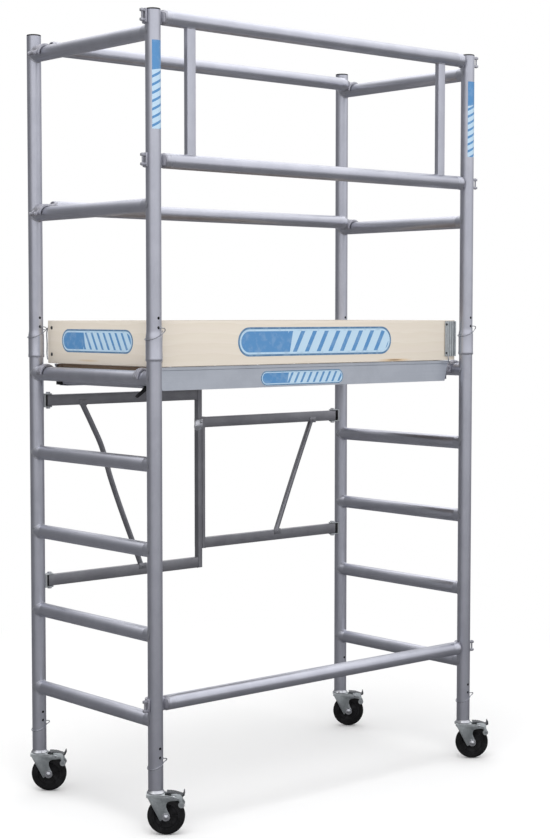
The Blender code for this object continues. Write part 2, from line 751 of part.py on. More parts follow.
def build_deck(plywood):
    low = deck_top - deck_thickness
    edge = hatch_edge + deck_edge_gap
    strip_edge = hatch_half_width + hatch_clearance
    deck = [(deck_end, deck_half_width), (-deck_end, deck_half_width), (-deck_end, strip_edge),
            (edge, strip_edge), (edge, -strip_edge), (-deck_end, -strip_edge),
            (-deck_end, -deck_half_width), (deck_end, -deck_half_width)]
    rebate_edge, rebate_half, rebate_depth = hinge_rebate
    rebate = block((edge - overcut, -rebate_half, deck_top - rebate_depth),
                   (rebate_edge, rebate_half, deck_top + overcut))
    add_part("deck_panel", plywood, [prism(deck, low, deck_top)], [rebate])


def build_hatch(plywood, steel):
    """A panel on a leaf hinge, whose fixed leaves are let into the deck."""
    low = deck_top - deck_thickness
    hinge_x, hinge_z = hinge_axis
    across = y_axes(hinge_x, hinge_z)
    knuckle = circle(knuckle_radius, small_sides)
    hatch = [block((-deck_end, -hatch_half_width, low), (hatch_edge, hatch_half_width, deck_top))]
    for y in hatch_knuckles:
        hatch.append(block((hinge_x - hinge_leaf_width, y - hatch_knuckle_half, deck_top - hatch_leaf[0]),
                           (hinge_x, y + hatch_knuckle_half, deck_top + hatch_leaf[1])))
        hatch.append(prism(knuckle, -y - hatch_knuckle_half, -y + hatch_knuckle_half, across))
    bore = prism(circle(hinge_bore, small_sides), -hinge_bore_half, hinge_bore_half, across)
    add_part("hatch", plywood, hatch, [bore], (hinge_x, 0, hinge_z))

    leaf_low = deck_top - hinge_rebate[2] + gap
    leaf_high = leaf_low + hinge_leaf
    leaf_start = hinge_x + hinge_riser[0]
    riser_end = hinge_x + hinge_riser[1]
    hinge = [prism(circle(hinge_pin_radius, small_sides), -hinge_pin_half, hinge_pin_half, across)]
    for y in fixed_knuckles:
        y_low = y - knuckle_half
        y_high = y + knuckle_half
        hinge.append(prism(knuckle, -y_high, -y_low, across))
        hinge.append(block((leaf_start, y_low, leaf_low), (hinge_x + hinge_leaf_width, y_high, leaf_high)))
        hinge.append(block((leaf_start, y_low, leaf_low), (riser_end, y_high, hinge_z)))
    add_part("hatch_hinge", steel, hinge)


def build_platform(plywood, aluminium, steel, plastic):
    build_deck(plywood)
    build_hatch(plywood, steel)
    build_side_beam("platform_front_beam", -1, aluminium)
    build_side_beam("platform_rear_beam", 1, aluminium)
    outside, bore = cross_tube(*middle_beam, *middle_beam_heights)
    add_part("platform_middle_beam", aluminium, [outside], [bore])
    for label, side in (("left", -1), ("right", 1)):
        build_end_beam(f"platform_{label}_beam", side, aluminium)
        build_wind_lock(f"wind_lock_{label}", side, plastic)


def build_toe_boards(wood):
    inner = front_board_face - board_thickness
    end_inner = end_board_face - board_thickness
    reach = end_inner - board_end_gap
    side_reach = front_board_face - board_side_gap
    for label, side in (("front", -1), ("rear", 1)):
        low_y, high_y = sorted((side * inner, side * front_board_face))
        board = block((-reach, low_y, board_low), (reach, high_y, board_high))
        add_part(f"toe_board_{label}", wood, [board])
    for label, side in (("left", -1), ("right", 1)):
        low_x, high_x = sorted((side * end_inner, side * end_board_face))
        board = block((low_x, -side_reach, board_low), (high_x, side_reach, board_high))
        add_part(f"toe_board_{label}", wood, [board])


# Assembly

def centre_over_origin():
    """Move the whole scaffold so that its box is centred on the vertical axis and stands on z = 0."""
    bpy.context.view_layer.update()
    graph = bpy.context.evaluated_depsgraph_get()
    corners = []
    for item in bpy.context.scene.objects:
        if item.type == "MESH" and not item.hide_render:
            solid = item.evaluated_get(graph)
            corners += [solid.matrix_world @ vertex.co for vertex in solid.data.vertices]
    for axis in (0, 1):
        values = [corner[axis] for corner in corners]
        scaffold.location[axis] = -(min(values) + max(values)) / 2
    scaffold.location[2] = -min(corner[2] for corner in corners)


def build():
    global scaffold
    for item in list(bpy.data.objects):
        bpy.data.objects.remove(item)
    scaffold = bpy.data.objects.new("scaffold", None)
    bpy.context.scene.collection.objects.link(scaffold)

    aluminium = make_material("aluminium", (0.62, 0.64, 0.70), 0.35, 1.0)
    cast = make_material("cast_aluminium", (0.48, 0.49, 0.53), 0.45, 1.0)
    galvanised = make_material("galvanised_steel", (0.40, 0.46, 0.48), 0.42, 1.0)
    bright = make_material("zinc_plated_steel", (0.75, 0.76, 0.78), 0.25, 1.0)
    plywood = make_material("plywood", (0.22, 0.15, 0.10), 0.60, 0.0)
    spruce = make_material("spruce", (0.80, 0.72, 0.58), 0.62, 0.0)
    plastic = make_material("black_plastic", (0.03, 0.03, 0.035), 0.50, 0.0)
    rubber = make_material("black_rubber", (0.02, 0.02, 0.022), 0.70, 0.0)

    for label, side in (("left", -1), ("right", 1)):
        build_ladder_frame(f"ladder_frame_{label}", side * half_long, aluminium)
        build_guard_frame(f"guard_frame_{label}", side * half_long, aluminium)
    for label, (x, y) in posts.items():
        build_cap(f"post_cap_{label}", x, y, plastic)
        build_castor(f"castor_{label}", x, y, galvanised, rubber, bright)

    front_levels = dict(zip(("upper", "lower"), front_rail_heights))
    build_rail("front_guard_rail", front_levels, -half_short, 0, (0, 1, 0), aluminium, cast,
               with_spacers=True)
    build_rail("front_brace", {"end": brace_height}, -half_short, 0, (0, 1, 0), aluminium, cast)
    for label, height in zip(("middle", "top"), guard_rungs):
        build_rail(f"rear_{label}_rail", {"end": height}, back_rail_y, back_rail_lift, (0, 0, 1),
                   aluminium, cast)

    build_fold_half("fold_frame_left", -1, left_stile, left_rail_heights, left_diagonal, aluminium)
    build_fold_half("fold_frame_right", 1, right_stile, right_rail_heights, right_diagonal, aluminium)
    for label, side, heights in (("left", -1, left_rail_heights), ("right", 1, right_rail_heights)):
        for level, height in zip(("lower", "upper"), heights):
            build_fold_bracket(f"fold_bracket_{label}_{level}", side, height, galvanised)
    build_centre_hinge("fold_centre_hinge", galvanised)
    build_fold_latch("fold_latch", bright)

    build_platform(plywood, aluminium, galvanised, plastic)
    build_toe_boards(spruce)
    centre_over_origin()


build()
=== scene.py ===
import math

import bmesh
import bpy
from mathutils import Matrix, Vector


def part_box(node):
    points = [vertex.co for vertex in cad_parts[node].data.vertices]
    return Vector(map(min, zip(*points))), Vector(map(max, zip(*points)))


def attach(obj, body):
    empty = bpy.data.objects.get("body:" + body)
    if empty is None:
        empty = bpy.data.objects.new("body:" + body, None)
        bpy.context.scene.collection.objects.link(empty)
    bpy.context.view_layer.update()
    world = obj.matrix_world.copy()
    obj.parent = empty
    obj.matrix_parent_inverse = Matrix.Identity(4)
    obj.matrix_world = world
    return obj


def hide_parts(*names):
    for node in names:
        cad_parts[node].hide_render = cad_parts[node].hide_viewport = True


# Rolling frame scaffold section: the finished look of the frames, rails, castors and platform, round the fixed frame

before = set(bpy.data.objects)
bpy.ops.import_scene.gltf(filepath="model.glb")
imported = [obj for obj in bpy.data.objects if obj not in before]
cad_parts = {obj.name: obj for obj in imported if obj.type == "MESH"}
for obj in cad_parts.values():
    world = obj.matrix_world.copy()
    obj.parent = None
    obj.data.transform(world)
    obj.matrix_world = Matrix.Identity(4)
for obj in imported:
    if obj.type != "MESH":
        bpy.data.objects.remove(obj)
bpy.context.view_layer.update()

corners = ("rear_left", "front_left", "rear_right", "front_right")
capBoxes = {corner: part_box(f"post_cap_{corner}") for corner in corners}
postAxis = {corner: (low + high) / 2 for corner, (low, high) in capBoxes.items()}
middle = (postAxis["rear_left"] + postAxis["front_right"]) / 2   # between the four posts
halfLong = postAxis["front_right"].x - middle.x                  # post axis from the middle along X
halfShort = postAxis["rear_left"].y - middle.y                   # and along Y
tubeRadius = 0.025
rungRadius = 0.0245
tubeWall = 0.002
roundSides = 48


def at(x, y, z):
    return Vector((middle.x + x, middle.y + y, z))


# Modelling helpers

def clearSelection():
    if bpy.context.object and bpy.context.object.mode != "OBJECT":
        bpy.ops.object.mode_set(mode="OBJECT")
    bpy.ops.object.select_all(action="DESELECT")


def choose(*items):
    clearSelection()
    for item in items:
        item.select_set(True)
    bpy.context.view_layer.objects.active = items[0]


def nameNew(name):
    item = bpy.context.object
    item.name = item.data.name = name
    return item


def settle(item, place=None):  # puts the mesh where place says and leaves the object at the origin
    if place is not None:
        item.matrix_world = place
    choose(item)
    bpy.ops.object.transform_apply(location=True, rotation=True, scale=True)
    return item


def axesAt(origin, xWay, yWay):  # local x and y run those ways, and local z is square to both
    xWay = Vector(xWay).normalized()
    yWay = Vector(yWay).normalized()
    turn = Matrix((xWay, yWay, xWay.cross(yWay))).transposed().to_4x4()
    return Matrix.Translation(origin) @ turn


def arcPoints(radius, start, end, steps, centre=(0, 0)):
    points = []
    for step in range(steps + 1):
        turn = math.radians(start + (end - start) * step / steps)
        points.append((centre[0] + radius * math.cos(turn), centre[1] + radius * math.sin(turn)))
    return points


def drawChain(name, points):  # one vertex, extruded from point to point
    clearSelection()
    bpy.ops.mesh.primitive_plane_add(size=0.01, location=(0, 0, 0))
    item = nameNew(name)
    bpy.ops.object.mode_set(mode="EDIT")
    bpy.ops.mesh.select_mode(type="VERT")
    bpy.ops.mesh.select_all(action="SELECT")
    bpy.ops.mesh.merge(type="CENTER")
    here = Vector(points[0])
    bpy.ops.transform.translate(value=here)
    for point in points[1:]:
        bpy.ops.mesh.extrude_region_move(TRANSFORM_OT_translate={"value": Vector(point) - here})
        here = Vector(point)
    bpy.ops.mesh.select_all(action="SELECT")
    return item


def applyModifier(item, kind, **settings):
    change = item.modifiers.new(kind.lower(), kind)
    for key, value in settings.items():
        setattr(change, key, value)
    choose(item)
    bpy.ops.object.modifier_apply(modifier=change.name)


def roundEdges(item, width, segments=2):
    applyModifier(item, "BEVEL", width=width, segments=segments, limit_method="ANGLE",
                  angle_limit=math.radians(32), use_clamp_overlap=True)


def cutAway(item, cutter):
    applyModifier(item, "BOOLEAN", operation="DIFFERENCE", solver="EXACT", object=cutter)
    discard(cutter)


def bothSides(low, high):  # a span and its mirror
    return (low, high), (-high, -low)


def drillOut(item, place, radius, depth=0.06, sides=20):  # a round hole along local z of that place
    clearSelection()
    bpy.ops.mesh.primitive_cylinder_add(vertices=sides, radius=radius, depth=depth)
    cutter = bpy.context.object
    cutter.matrix_world = place
    bpy.context.view_layer.update()
    cutAway(item, cutter)


def upright(x, y, z):
    return Matrix.Translation(at(x, y, z))


def movedBy(place, x, y, z):
    return place @ Matrix.Translation((x, y, z))


def makePlate(name, outline, low, high, place, rounding=0.0, segments=2):  # an outline filled and extruded
    item = drawChain(name, [(x, y, low) for x, y in outline])
    bpy.ops.mesh.edge_face_add()
    bpy.ops.mesh.extrude_region_move(TRANSFORM_OT_translate={"value": (0, 0, high - low)})
    bpy.ops.mesh.select_all(action="SELECT")
    bpy.ops.mesh.normals_make_consistent(inside=False)
    if rounding:
        roundEdges(item, rounding, segments)
    return settle(item, place)


def makeTurned(name, profile, place, sides=roundSides):
    # a profile of radius and height, spun about local z; one that starts off the axis is closed into a ring
    if profile[0][0]:
        profile = [*profile, profile[0]]
    item = drawChain(name, [(radius, 0, height) for radius, height in profile])
    bpy.ops.mesh.spin(steps=sides, angle=math.tau, center=(0, 0, 0), axis=(0, 0, 1))
    bpy.ops.mesh.select_all(action="SELECT")
    bpy.ops.mesh.remove_doubles(threshold=0.000005)
    bpy.ops.mesh.normals_make_consistent(inside=False)
    return settle(item, place)


def makeRod(name, place, radius, low, high, sides=16):
    return makeTurned(name, [(0, low), (radius, low), (radius, high), (0, high)], place, sides)


def alongAxes(start, end):  # local z from start to end
    way = Vector(end) - Vector(start)
    side = Vector((0, 0, 1)) if abs(way.z) < way.length * 0.5 else Vector((1, 0, 0))
    return axesAt(start, side.cross(way), way.cross(side.cross(way)))


def makeTube(name, start, end, radius, wall=tubeWall, grooves=(), sides=roundSides):
    # a round tube with shallow crimp grooves at these distances from both of its ends
    length = (Vector(end) - Vector(start)).length
    stations = sorted([*grooves, *[length - groove for groove in grooves]])
    outside = [(radius, 0)]
    for station in stations:
        outside += [(radius, station - 0.0026), (radius - 0.0007, station - 0.0009),
                    (radius - 0.0007, station + 0.0009), (radius, station + 0.0026)]
    inside = [(radius, length), (radius - wall, length), (radius - wall, 0)]
    return makeTurned(name, outside + inside, alongAxes(start, end), sides)


def makeBox(name, low, high, rounding=0.0, segments=2):
    low, high = Vector(low), Vector(high)
    clearSelection()
    bpy.ops.mesh.primitive_cube_add(size=1, location=(low + high) / 2, scale=high - low)
    item = settle(nameNew(name))
    if rounding:
        roundEdges(item, rounding, segments)
    return item


def pickFaces(item, test):  # in edit mode, selects the faces whose centre and normal pass
    bpy.ops.mesh.select_mode(type="FACE")
    mesh = bmesh.from_edit_mesh(item.data)
    for face in mesh.faces:
        face.select_set(False)
    for face in mesh.faces:
        if test(face.calc_center_median(), face.normal):
            face.select_set(True)
    bmesh.update_edit_mesh(item.data)


def makeBoxTube(name, low, high, axis, wall=0.002, rounding=0.002):  # a rectangular tube, open at both ends
    item = makeBox(name, low, high)
    choose(item)
    bpy.ops.object.mode_set(mode="EDIT")
    pickFaces(item, lambda centre, normal: abs(normal[axis]) > 0.9)
    bpy.ops.mesh.delete(type="ONLY_FACE")
    bpy.ops.object.mode_set(mode="OBJECT")
    roundEdges(item, rounding, 3)
    applyModifier(item, "SOLIDIFY", thickness=wall, offset=-1)
    return item


def makeWire(name, points, radius, steps=5, sides=3):  # a round wire or bent tube through points
    clearSelection()
    bpy.ops.curve.primitive_bezier_curve_add(location=(0, 0, 0))
    item = nameNew(name)
    spline = item.data.splines[0]
    spline.bezier_points.add(len(points) - len(spline.bezier_points))
    for knot, point in zip(spline.bezier_points, points):
        knot.co = point
        knot.handle_left_type = knot.handle_right_type = "AUTO"
    spline.resolution_u = steps
    item.data.bevel_depth = radius
    item.data.bevel_resolution = sides
    item.data.use_fill_caps = True
    choose(item)
    bpy.ops.object.convert(target="MESH")
    item = nameNew(name)
    bpy.ops.object.mode_set(mode="EDIT")
    bpy.ops.mesh.select_all(action="SELECT")
    bpy.ops.mesh.remove_doubles(threshold=0.000005)
    bpy.ops.mesh.normals_make_consistent(inside=False)
    bpy.ops.object.mode_set(mode="OBJECT")
    return item


def copyPiece(item, name, matrix=Matrix.Identity(4)):  # a copy with its own mesh, moved or mirrored by matrix
    twin = item.copy()
    twin.data = item.data.copy()
    twin.name = twin.data.name = name
    bpy.context.scene.collection.objects.link(twin)
    twin.data.transform(matrix)
    if matrix.determinant() < 0:
        twin.data.flip_normals()
    return twin


def mirrored(alongX, alongY):  # mirrors across the middle of the scaffold
    centre = Vector((middle.x, middle.y, 0))
    return (Matrix.Translation(centre) @ Matrix.Diagonal((-1 if alongX else 1, -1 if alongY else 1, 1, 1))
            @ Matrix.Translation(-centre))


def joined(name, items):
    choose(*items)
    if len(items) > 1:
        bpy.ops.object.join()
    return nameNew(name)


def discard(*masters):
    for master in masters:
        bpy.data.objects.remove(master)


def finishPiece(item, finish, body="root", stands=(), smooth=35):
    choose(item)
    bpy.ops.object.shade_smooth_by_angle(angle=math.radians(smooth))
    item.data.materials.clear()
    item.data.materials.append(finishes[finish])
    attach(item, body)
    if stands:
        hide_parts(*stands)
    return item


def hexHead(name, place, across=0.013, height=0.0055, washer=0.0):  # local z points out of the head
    radius = across / 2 / math.cos(math.radians(30))
    outline = arcPoints(radius, 0, 300, 5)
    parts = [makePlate(name, outline, washer, washer + height, place, 0.0006)]
    if washer:
        disc = arcPoints(radius * 1.45, 0, 345, 23)
        parts.append(makePlate(f"{name}Washer", disc, 0, washer, place, 0.0003, 1))
    return joined(name, parts)


def domeHead(name, place, radius=0.007, height=0.0035):
    profile = [(0, 0), (radius, 0), (radius, height * 0.25), (radius * 0.86, height * 0.62),
               (radius * 0.55, height * 0.9), (0, height)]
    return makeTurned(name, profile, place, 20)


# Finishes

def setSocket(tree, socket, value):  # takes either a value or another node's socket
    if isinstance(value, bpy.types.NodeSocket):
        tree.links.new(value, socket)
    else:
        socket.default_value = value


def addNode(tree, kind, inputs=None, **settings):
    node = tree.nodes.new(f"ShaderNode{kind}")
    for key, value in settings.items():
        setattr(node, key, value)
    for key, value in (inputs or {}).items():
        setSocket(tree, node.inputs[key], value)
    return node


def calc(tree, operation, first, second=0.5, **settings):
    return addNode(tree, "Math", {0: first, 1: second}, operation=operation, **settings).outputs[0]


def spread(tree, value, low=0.0, high=1.0, start=0.0, end=1.0, ease="LINEAR"):  # maps start..end to low..high
    inputs = {"Value": value, "From Min": start, "From Max": end, "To Min": low, "To Max": high}
    return addNode(tree, "MapRange", inputs, interpolation_type=ease).outputs[0]


def axisOf(tree, vector, axis):
    return addNode(tree, "SeparateXYZ", {0: vector}).outputs[axis]


def noiseAt(tree, place, scale, detail, roughness=0.5):
    inputs = {"Vector": place, "Scale": scale, "Detail": detail, "Roughness": roughness}
    return addNode(tree, "TexNoise", inputs).outputs["Fac"]


def stretchedBy(tree, place, stretch):
    return addNode(tree, "VectorMath", {0: place, 1: stretch}, operation="MULTIPLY").outputs[0]


def blendColour(tree, amount, first, second):
    first, second = (value if isinstance(value, bpy.types.NodeSocket) else (*value, 1.0) for value in (first, second))
    return addNode(tree, "Mix", {0: amount, 6: first, 7: second}, data_type="RGBA").outputs[2]


def startGroup(name, inputs, output):  # gives the group's tree, what it is given and its one output
    group = bpy.data.node_groups.new(name, "ShaderNodeTree")
    for label, kind in inputs.items():
        group.interface.new_socket(name=label, in_out="INPUT", socket_type=f"NodeSocket{kind}")
    group.interface.new_socket(name=output, in_out="OUTPUT", socket_type="NodeSocketFloat")
    return group, group.nodes.new("NodeGroupInput").outputs, group.nodes.new("NodeGroupOutput").inputs[0]


def makeGrainGroup():  # noise stretched by a vector, for drawn lines and wood grain
    group, given, grain = startGroup("stretchedGrain", {"Place": "Vector", "Stretch": "Vector", "Detail": "Float"},
                                     "Grain")
    stretched = stretchedBy(group, given["Place"], given["Stretch"])
    group.links.new(noiseAt(group, stretched, 1.0, given["Detail"], 0.6), grain)
    return group


def makeSmudgeGroup():  # soft patches that cover some of the surface
    group, given, mask = startGroup("smudges", {"Place": "Vector", "Size": "Float", "Cover": "Float"}, "Mask")
    noise = noiseAt(group, given["Place"], given["Size"], 5.0, 0.62)
    lowest = calc(group, "SUBTRACT", 0.8, given["Cover"])
    highest = calc(group, "ADD", lowest, 0.18)
    group.links.new(spread(group, noise, start=lowest, end=highest, ease="SMOOTHSTEP"), mask)
    return group


def makeDustGroup():  # settles on what faces up
    group, given, mask = startGroup("settledDust", {"Place": "Vector", "Amount": "Float"}, "Mask")
    upward = axisOf(group, addNode(group, "NewGeometry").outputs["Normal"], "Z")
    cover = calc(group, "MULTIPLY", noiseAt(group, given["Place"], 38.0, 6.0), given["Amount"])
    group.links.new(calc(group, "MULTIPLY", cover, spread(group, upward, start=0.35, end=0.95)), mask)
    return group


def makeWearGroup():  # lightens rubbed edges of castings and other metal parts
    group, given, mask = startGroup("edgeWear", {"Place": "Vector", "Amount": "Float"}, "Mask")
    edge = spread(group, addNode(group, "NewGeometry").outputs["Pointiness"], start=0.52, end=0.62)
    broken = calc(group, "MULTIPLY", edge, noiseAt(group, given["Place"], 140.0, 4.0))
    group.links.new(calc(group, "MULTIPLY", broken, given["Amount"], use_clamp=True), mask)
    return group


groups = {"grain": makeGrainGroup(), "smudge": makeSmudgeGroup(), "dust": makeDustGroup(), "wear": makeWearGroup()}
finishes = {}


def useGroup(tree, name, place, **inputs):
    return addNode(tree, "Group", {"Place": place, **inputs}, node_tree=groups[name]).outputs[0]


def startFinish(name, metallic=0.0):
    finishes[name] = bpy.data.materials.new(name)
    finishes[name].use_nodes = True
    tree = finishes[name].node_tree
    shader = tree.nodes["Principled BSDF"]
    shader.inputs["Metallic"].default_value = metallic
    return tree, shader, addNode(tree, "TexCoord").outputs["Object"]


def endFinish(tree, shader, colour, roughness, height=None, depth=0.0):
    setSocket(tree, shader.inputs["Base Color"], colour)
    setSocket(tree, shader.inputs["Roughness"], roughness)
    if height is not None:
        bump = addNode(tree, "Bump", {"Height": height, "Distance": depth})
        tree.links.new(bump.outputs[0], shader.inputs["Normal"])


def timesColour(colour, share, most=1.0):
    return tuple(min(part * share, most) for part in colour)


def makeMetal(name, colour, dull, rough, stretch, patch=9.0, cover=0.38, lineDepth=0.00006, wear=0.0, spangle=0.0):
    tree, shader, place = startFinish(name, 1.0)
    grain = useGroup(tree, "grain", place, Stretch=stretch, Detail=4.0)
    tone = blendColour(tree, useGroup(tree, "smudge", place, Size=patch, Cover=cover), colour, dull)
    tone = blendColour(tree, spread(tree, grain, 0.0, 0.5), tone, timesColour(colour, 0.86))
    if spangle:  # the crystal pattern of hot-dip zinc
        cells = addNode(tree, "TexVoronoi", {"Vector": place, "Scale": spangle})
        grey = addNode(tree, "RGBToBW", {0: cells.outputs["Color"]}).outputs[0]
        tone = blendColour(tree, spread(tree, grey, 0.0, 0.55), tone, timesColour(dull, 0.72))
    if wear:
        tone = blendColour(tree, useGroup(tree, "wear", place, Amount=wear), tone, timesColour(colour, 1.5, 0.9))
    endFinish(tree, shader, tone, spread(tree, grain, *rough), grain, lineDepth)


tubeAlloy = dict(colour=(0.63, 0.64, 0.7), dull=(0.58, 0.59, 0.65), rough=(0.32, 0.46))
metals = {
    "tubeX": dict(tubeAlloy, stretch=(3, 420, 420)),  # drawn along X, and so on
    "tubeY": dict(tubeAlloy, stretch=(420, 3, 420)),
    "tubeZ": dict(tubeAlloy, stretch=(420, 420, 3)),
    # the folding frame's tubes: the same aluminium, painted dark as painted shade for the shade they stand in under the
    # platform
    "foldTubePaintedShade": dict(colour=(0.34, 0.34, 0.36), dull=(0.29, 0.29, 0.31), rough=(0.36, 0.5), stretch=(60, 60, 60)),
    "beamAlloy": dict(colour=(0.7, 0.74, 0.8), dull=(0.65, 0.69, 0.75), rough=(0.4, 0.54),
                      stretch=(2.5, 300, 300)),
    "latchAlloy": dict(colour=(0.26, 0.26, 0.28), dull=(0.16, 0.16, 0.18), rough=(0.3, 0.5),
                       stretch=(260, 260, 260), patch=60.0, lineDepth=0.00025, wear=1.6),
    "weldAlloy": dict(colour=(0.66, 0.67, 0.71), dull=(0.46, 0.47, 0.5), rough=(0.3, 0.5), stretch=(160, 160, 160),
                      patch=60.0, lineDepth=0.0003),
    "castAlloy": dict(colour=(0.52, 0.52, 0.56), dull=(0.4, 0.4, 0.44), rough=(0.38, 0.6),
                      stretch=(260, 260, 260), patch=30.0, lineDepth=0.00025, wear=0.8),
    "galvanised": dict(colour=(0.6, 0.64, 0.64), dull=(0.48, 0.52, 0.525), rough=(0.32, 0.5),
                       stretch=(90, 90, 90), patch=26.0, lineDepth=0.0001, wear=0.5, spangle=170.0),
    "brightZinc": dict(colour=(0.74, 0.75, 0.77), dull=(0.6, 0.61, 0.64), rough=(0.16, 0.3),
                       stretch=(70, 70, 70), patch=30.0, wear=0.4),
    "springWire": dict(colour=(0.44, 0.45, 0.48), dull=(0.34, 0.35, 0.38), rough=(0.2, 0.34),
                       stretch=(300, 300, 300), patch=80.0),
    "darkSteel": dict(colour=(0.1, 0.105, 0.11), dull=(0.06, 0.062, 0.066), rough=(0.34, 0.52),
                      stretch=(120, 120, 120), patch=50.0, wear=1.4),
}
for metalName, metalSettings in metals.items():
    makeMetal(metalName, **metalSettings)


def makeDarkMoulding(name, colour, rough, grainSize, dusty, depth):  # black plastic and rubber
    tree, shader, place = startFinish(name)
    grain = useGroup(tree, "grain", place, Stretch=(grainSize,) * 3, Detail=5.0)
    patches = useGroup(tree, "smudge", place, Size=30.0, Cover=0.36)
    tone = blendColour(tree, patches, colour, timesColour(colour, 1.9))
    tone = blendColour(tree, useGroup(tree, "dust", place, Amount=dusty), tone, (0.1, 0.098, 0.095))
    shader.inputs["Specular IOR Level"].default_value = 0.12
    endFinish(tree, shader, tone, spread(tree, grain, *rough), grain, depth)


makeDarkMoulding("blackPlastic", (0.009, 0.009, 0.01), (0.38, 0.56), 500.0, 0.06, 0.00012)
makeDarkMoulding("tyreRubber", (0.006, 0.006, 0.0065), (0.6, 0.8), 320.0, 0.08, 0.0002)


def makeSpruce(name, stretch):
    woods = {"pale": (0.7, 0.65, 0.57), "late": (0.61, 0.54, 0.44), "pink": (0.69, 0.62, 0.56),
             "knot": (0.24, 0.15, 0.09), "resin": (0.6, 0.44, 0.26), "dust": (0.62, 0.58, 0.52)}
    tree, shader, place = startFinish(name)
    fine = useGroup(tree, "grain", place, Stretch=tuple(part * 5 for part in stretch), Detail=6.0)
    broad = useGroup(tree, "grain", place, Stretch=stretch, Detail=2.0)
    waves = {"Vector": place, "Scale": 9.0, "Distortion": 3.4, "Detail": 2.5, "Detail Scale": 0.6}
    rings = addNode(tree, "TexWave", waves, wave_type="BANDS", bands_direction="Z", wave_profile="SAW")
    tone = blendColour(tree, spread(tree, broad, -0.2, 1.0), woods["pale"], woods["pink"])
    tone = blendColour(tree, spread(tree, rings.outputs["Fac"], 0.0, 0.34), tone, woods["late"])
    tone = blendColour(tree, spread(tree, fine, -0.12, 0.5), tone, woods["late"])
    spaced = stretchedBy(tree, place, tuple(part * 1.5 for part in stretch))
    cells = addNode(tree, "TexVoronoi", {"Vector": spaced, "Scale": 0.36, "Randomness": 1.0}).outputs["Distance"]
    tone = blendColour(tree, spread(tree, cells, start=0.12, end=0.05), tone, woods["resin"])
    tone = blendColour(tree, spread(tree, cells, start=0.062, end=0.04), tone, woods["knot"])
    tone = blendColour(tree, useGroup(tree, "dust", place, Amount=0.25), tone, woods["dust"])
    endFinish(tree, shader, tone, spread(tree, fine, 0.52, 0.7), fine, 0.00018)


makeSpruce("spruceX", (2.2, 34, 34))
makeSpruce("spruceY", (34, 2.2, 34))


def makeFilmPly():  # film with a fine grid pressed in it on the faces, bare layers at the edges
    ply = {"pitch": 0.0045, "film": (0.075, 0.045, 0.03), "filmLight": (0.11, 0.07, 0.05), "layer": 0.0014,
           "veneer": (0.26, 0.18, 0.12), "veneerDark": (0.12, 0.08, 0.05), "dust": (0.3, 0.28, 0.25)}
    tree, shader, place = startFinish("filmPly")
    waves = [calc(tree, "SINE", calc(tree, "MULTIPLY", axisOf(tree, place, axis), math.tau / ply["pitch"]))
             for axis in "XY"]
    worn = useGroup(tree, "smudge", place, Size=12.0, Cover=0.42)
    film = blendColour(tree, spread(tree, worn, 0.0, 0.8), ply["film"], ply["filmLight"])
    layers = calc(tree, "SINE", calc(tree, "MULTIPLY", axisOf(tree, place, "Z"), math.pi / ply["layer"]))
    veneer = blendColour(tree, spread(tree, layers, 0.5, 1.0), ply["veneerDark"], ply["veneer"])
    # the normals of the piece itself, whichever way the hatch is turned
    upward = axisOf(tree, addNode(tree, "TexCoord").outputs["Normal"], "Z")
    onFace = calc(tree, "GREATER_THAN", calc(tree, "ABSOLUTE", upward), 0.6)
    dust = useGroup(tree, "dust", place, Amount=0.3)
    tone = blendColour(tree, dust, blendColour(tree, onFace, veneer, film), ply["dust"])
    grid = calc(tree, "MULTIPLY", calc(tree, "MAXIMUM", *waves), onFace)
    endFinish(tree, shader, tone, spread(tree, worn, 0.42, 0.62), grid, 0.0003)


makeFilmPly()
labelInk = {"strong": (0.075, 0.23, 0.47), "pale": (0.44, 0.6, 0.74), "edge": (0.07, 0.17, 0.31),
            "faded": (0.62, 0.7, 0.76)}


def makeLabelFinish(name, axis, start, length, bars):
    # a plain printed band: solid for a third of its length, then slanted bars
    tree, shader, place = startFinish(name)
    along = spread(tree, axisOf(tree, place, axis), start=start, end=start + length)
    slant = calc(tree, "MULTIPLY", axisOf(tree, place, "X" if axis == "Z" else "Z"), 0.55 / length)
    counted = calc(tree, "MULTIPLY", calc(tree, "SUBTRACT", along, slant), float(bars))
    share = spread(tree, along, 1.0, 0.34, 0.31, 0.34)
    inked = calc(tree, "LESS_THAN", calc(tree, "FRACT", counted), share)
    worn = useGroup(tree, "smudge", place, Size=40.0, Cover=0.34)
    tone = blendColour(tree, inked, labelInk["pale"], labelInk["strong"])
    tone = blendColour(tree, spread(tree, worn, 0.0, 0.1), tone, labelInk["faded"])
    endFinish(tree, shader, tone, spread(tree, worn, 0.28, 0.45))


def makeInkFinish(name, ink, other):
    tree, shader, place = startFinish(name)
    worn = useGroup(tree, "smudge", place, Size=40.0, Cover=0.34)
    endFinish(tree, shader, blendColour(tree, spread(tree, worn, 0.0, 0.2), labelInk[ink], labelInk[other]), 0.36)


makeInkFinish("labelEdge", "edge", "pale")
makeInkFinish("labelPale", "pale", "edge")
print("finishes made:", len(finishes))


# Ladder frames and guard frames

lowerPost = {"foot": 0.15, "shoulder": 1.6425, "top": 1.72, "spigot": 0.0226, "holes": (0.258, 0.288)}
upperPost = {"foot": 1.554, "collar": 1.566, "collarTop": 1.628, "taperTop": 1.651, "socket": 0.0275,
             "lip": 0.0282, "bore": 0.0253, "top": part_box("guard_frame_left")[1].z, "holes": (1.662, 1.693)}
rungHeights = {"ladder": (0.377, 0.657, 0.937, 1.217, 1.497), "guard": (2.055, 2.608)}
pinRadius = 0.0048


def drillPost(post, heights):  # the lock pins' holes, from front to back
    for height in heights:
        drillOut(post, upright(-halfLong, -halfShort, height) @ Matrix.Rotation(math.pi / 2, 4, "X"),
                 pinRadius, 0.09)
    return post


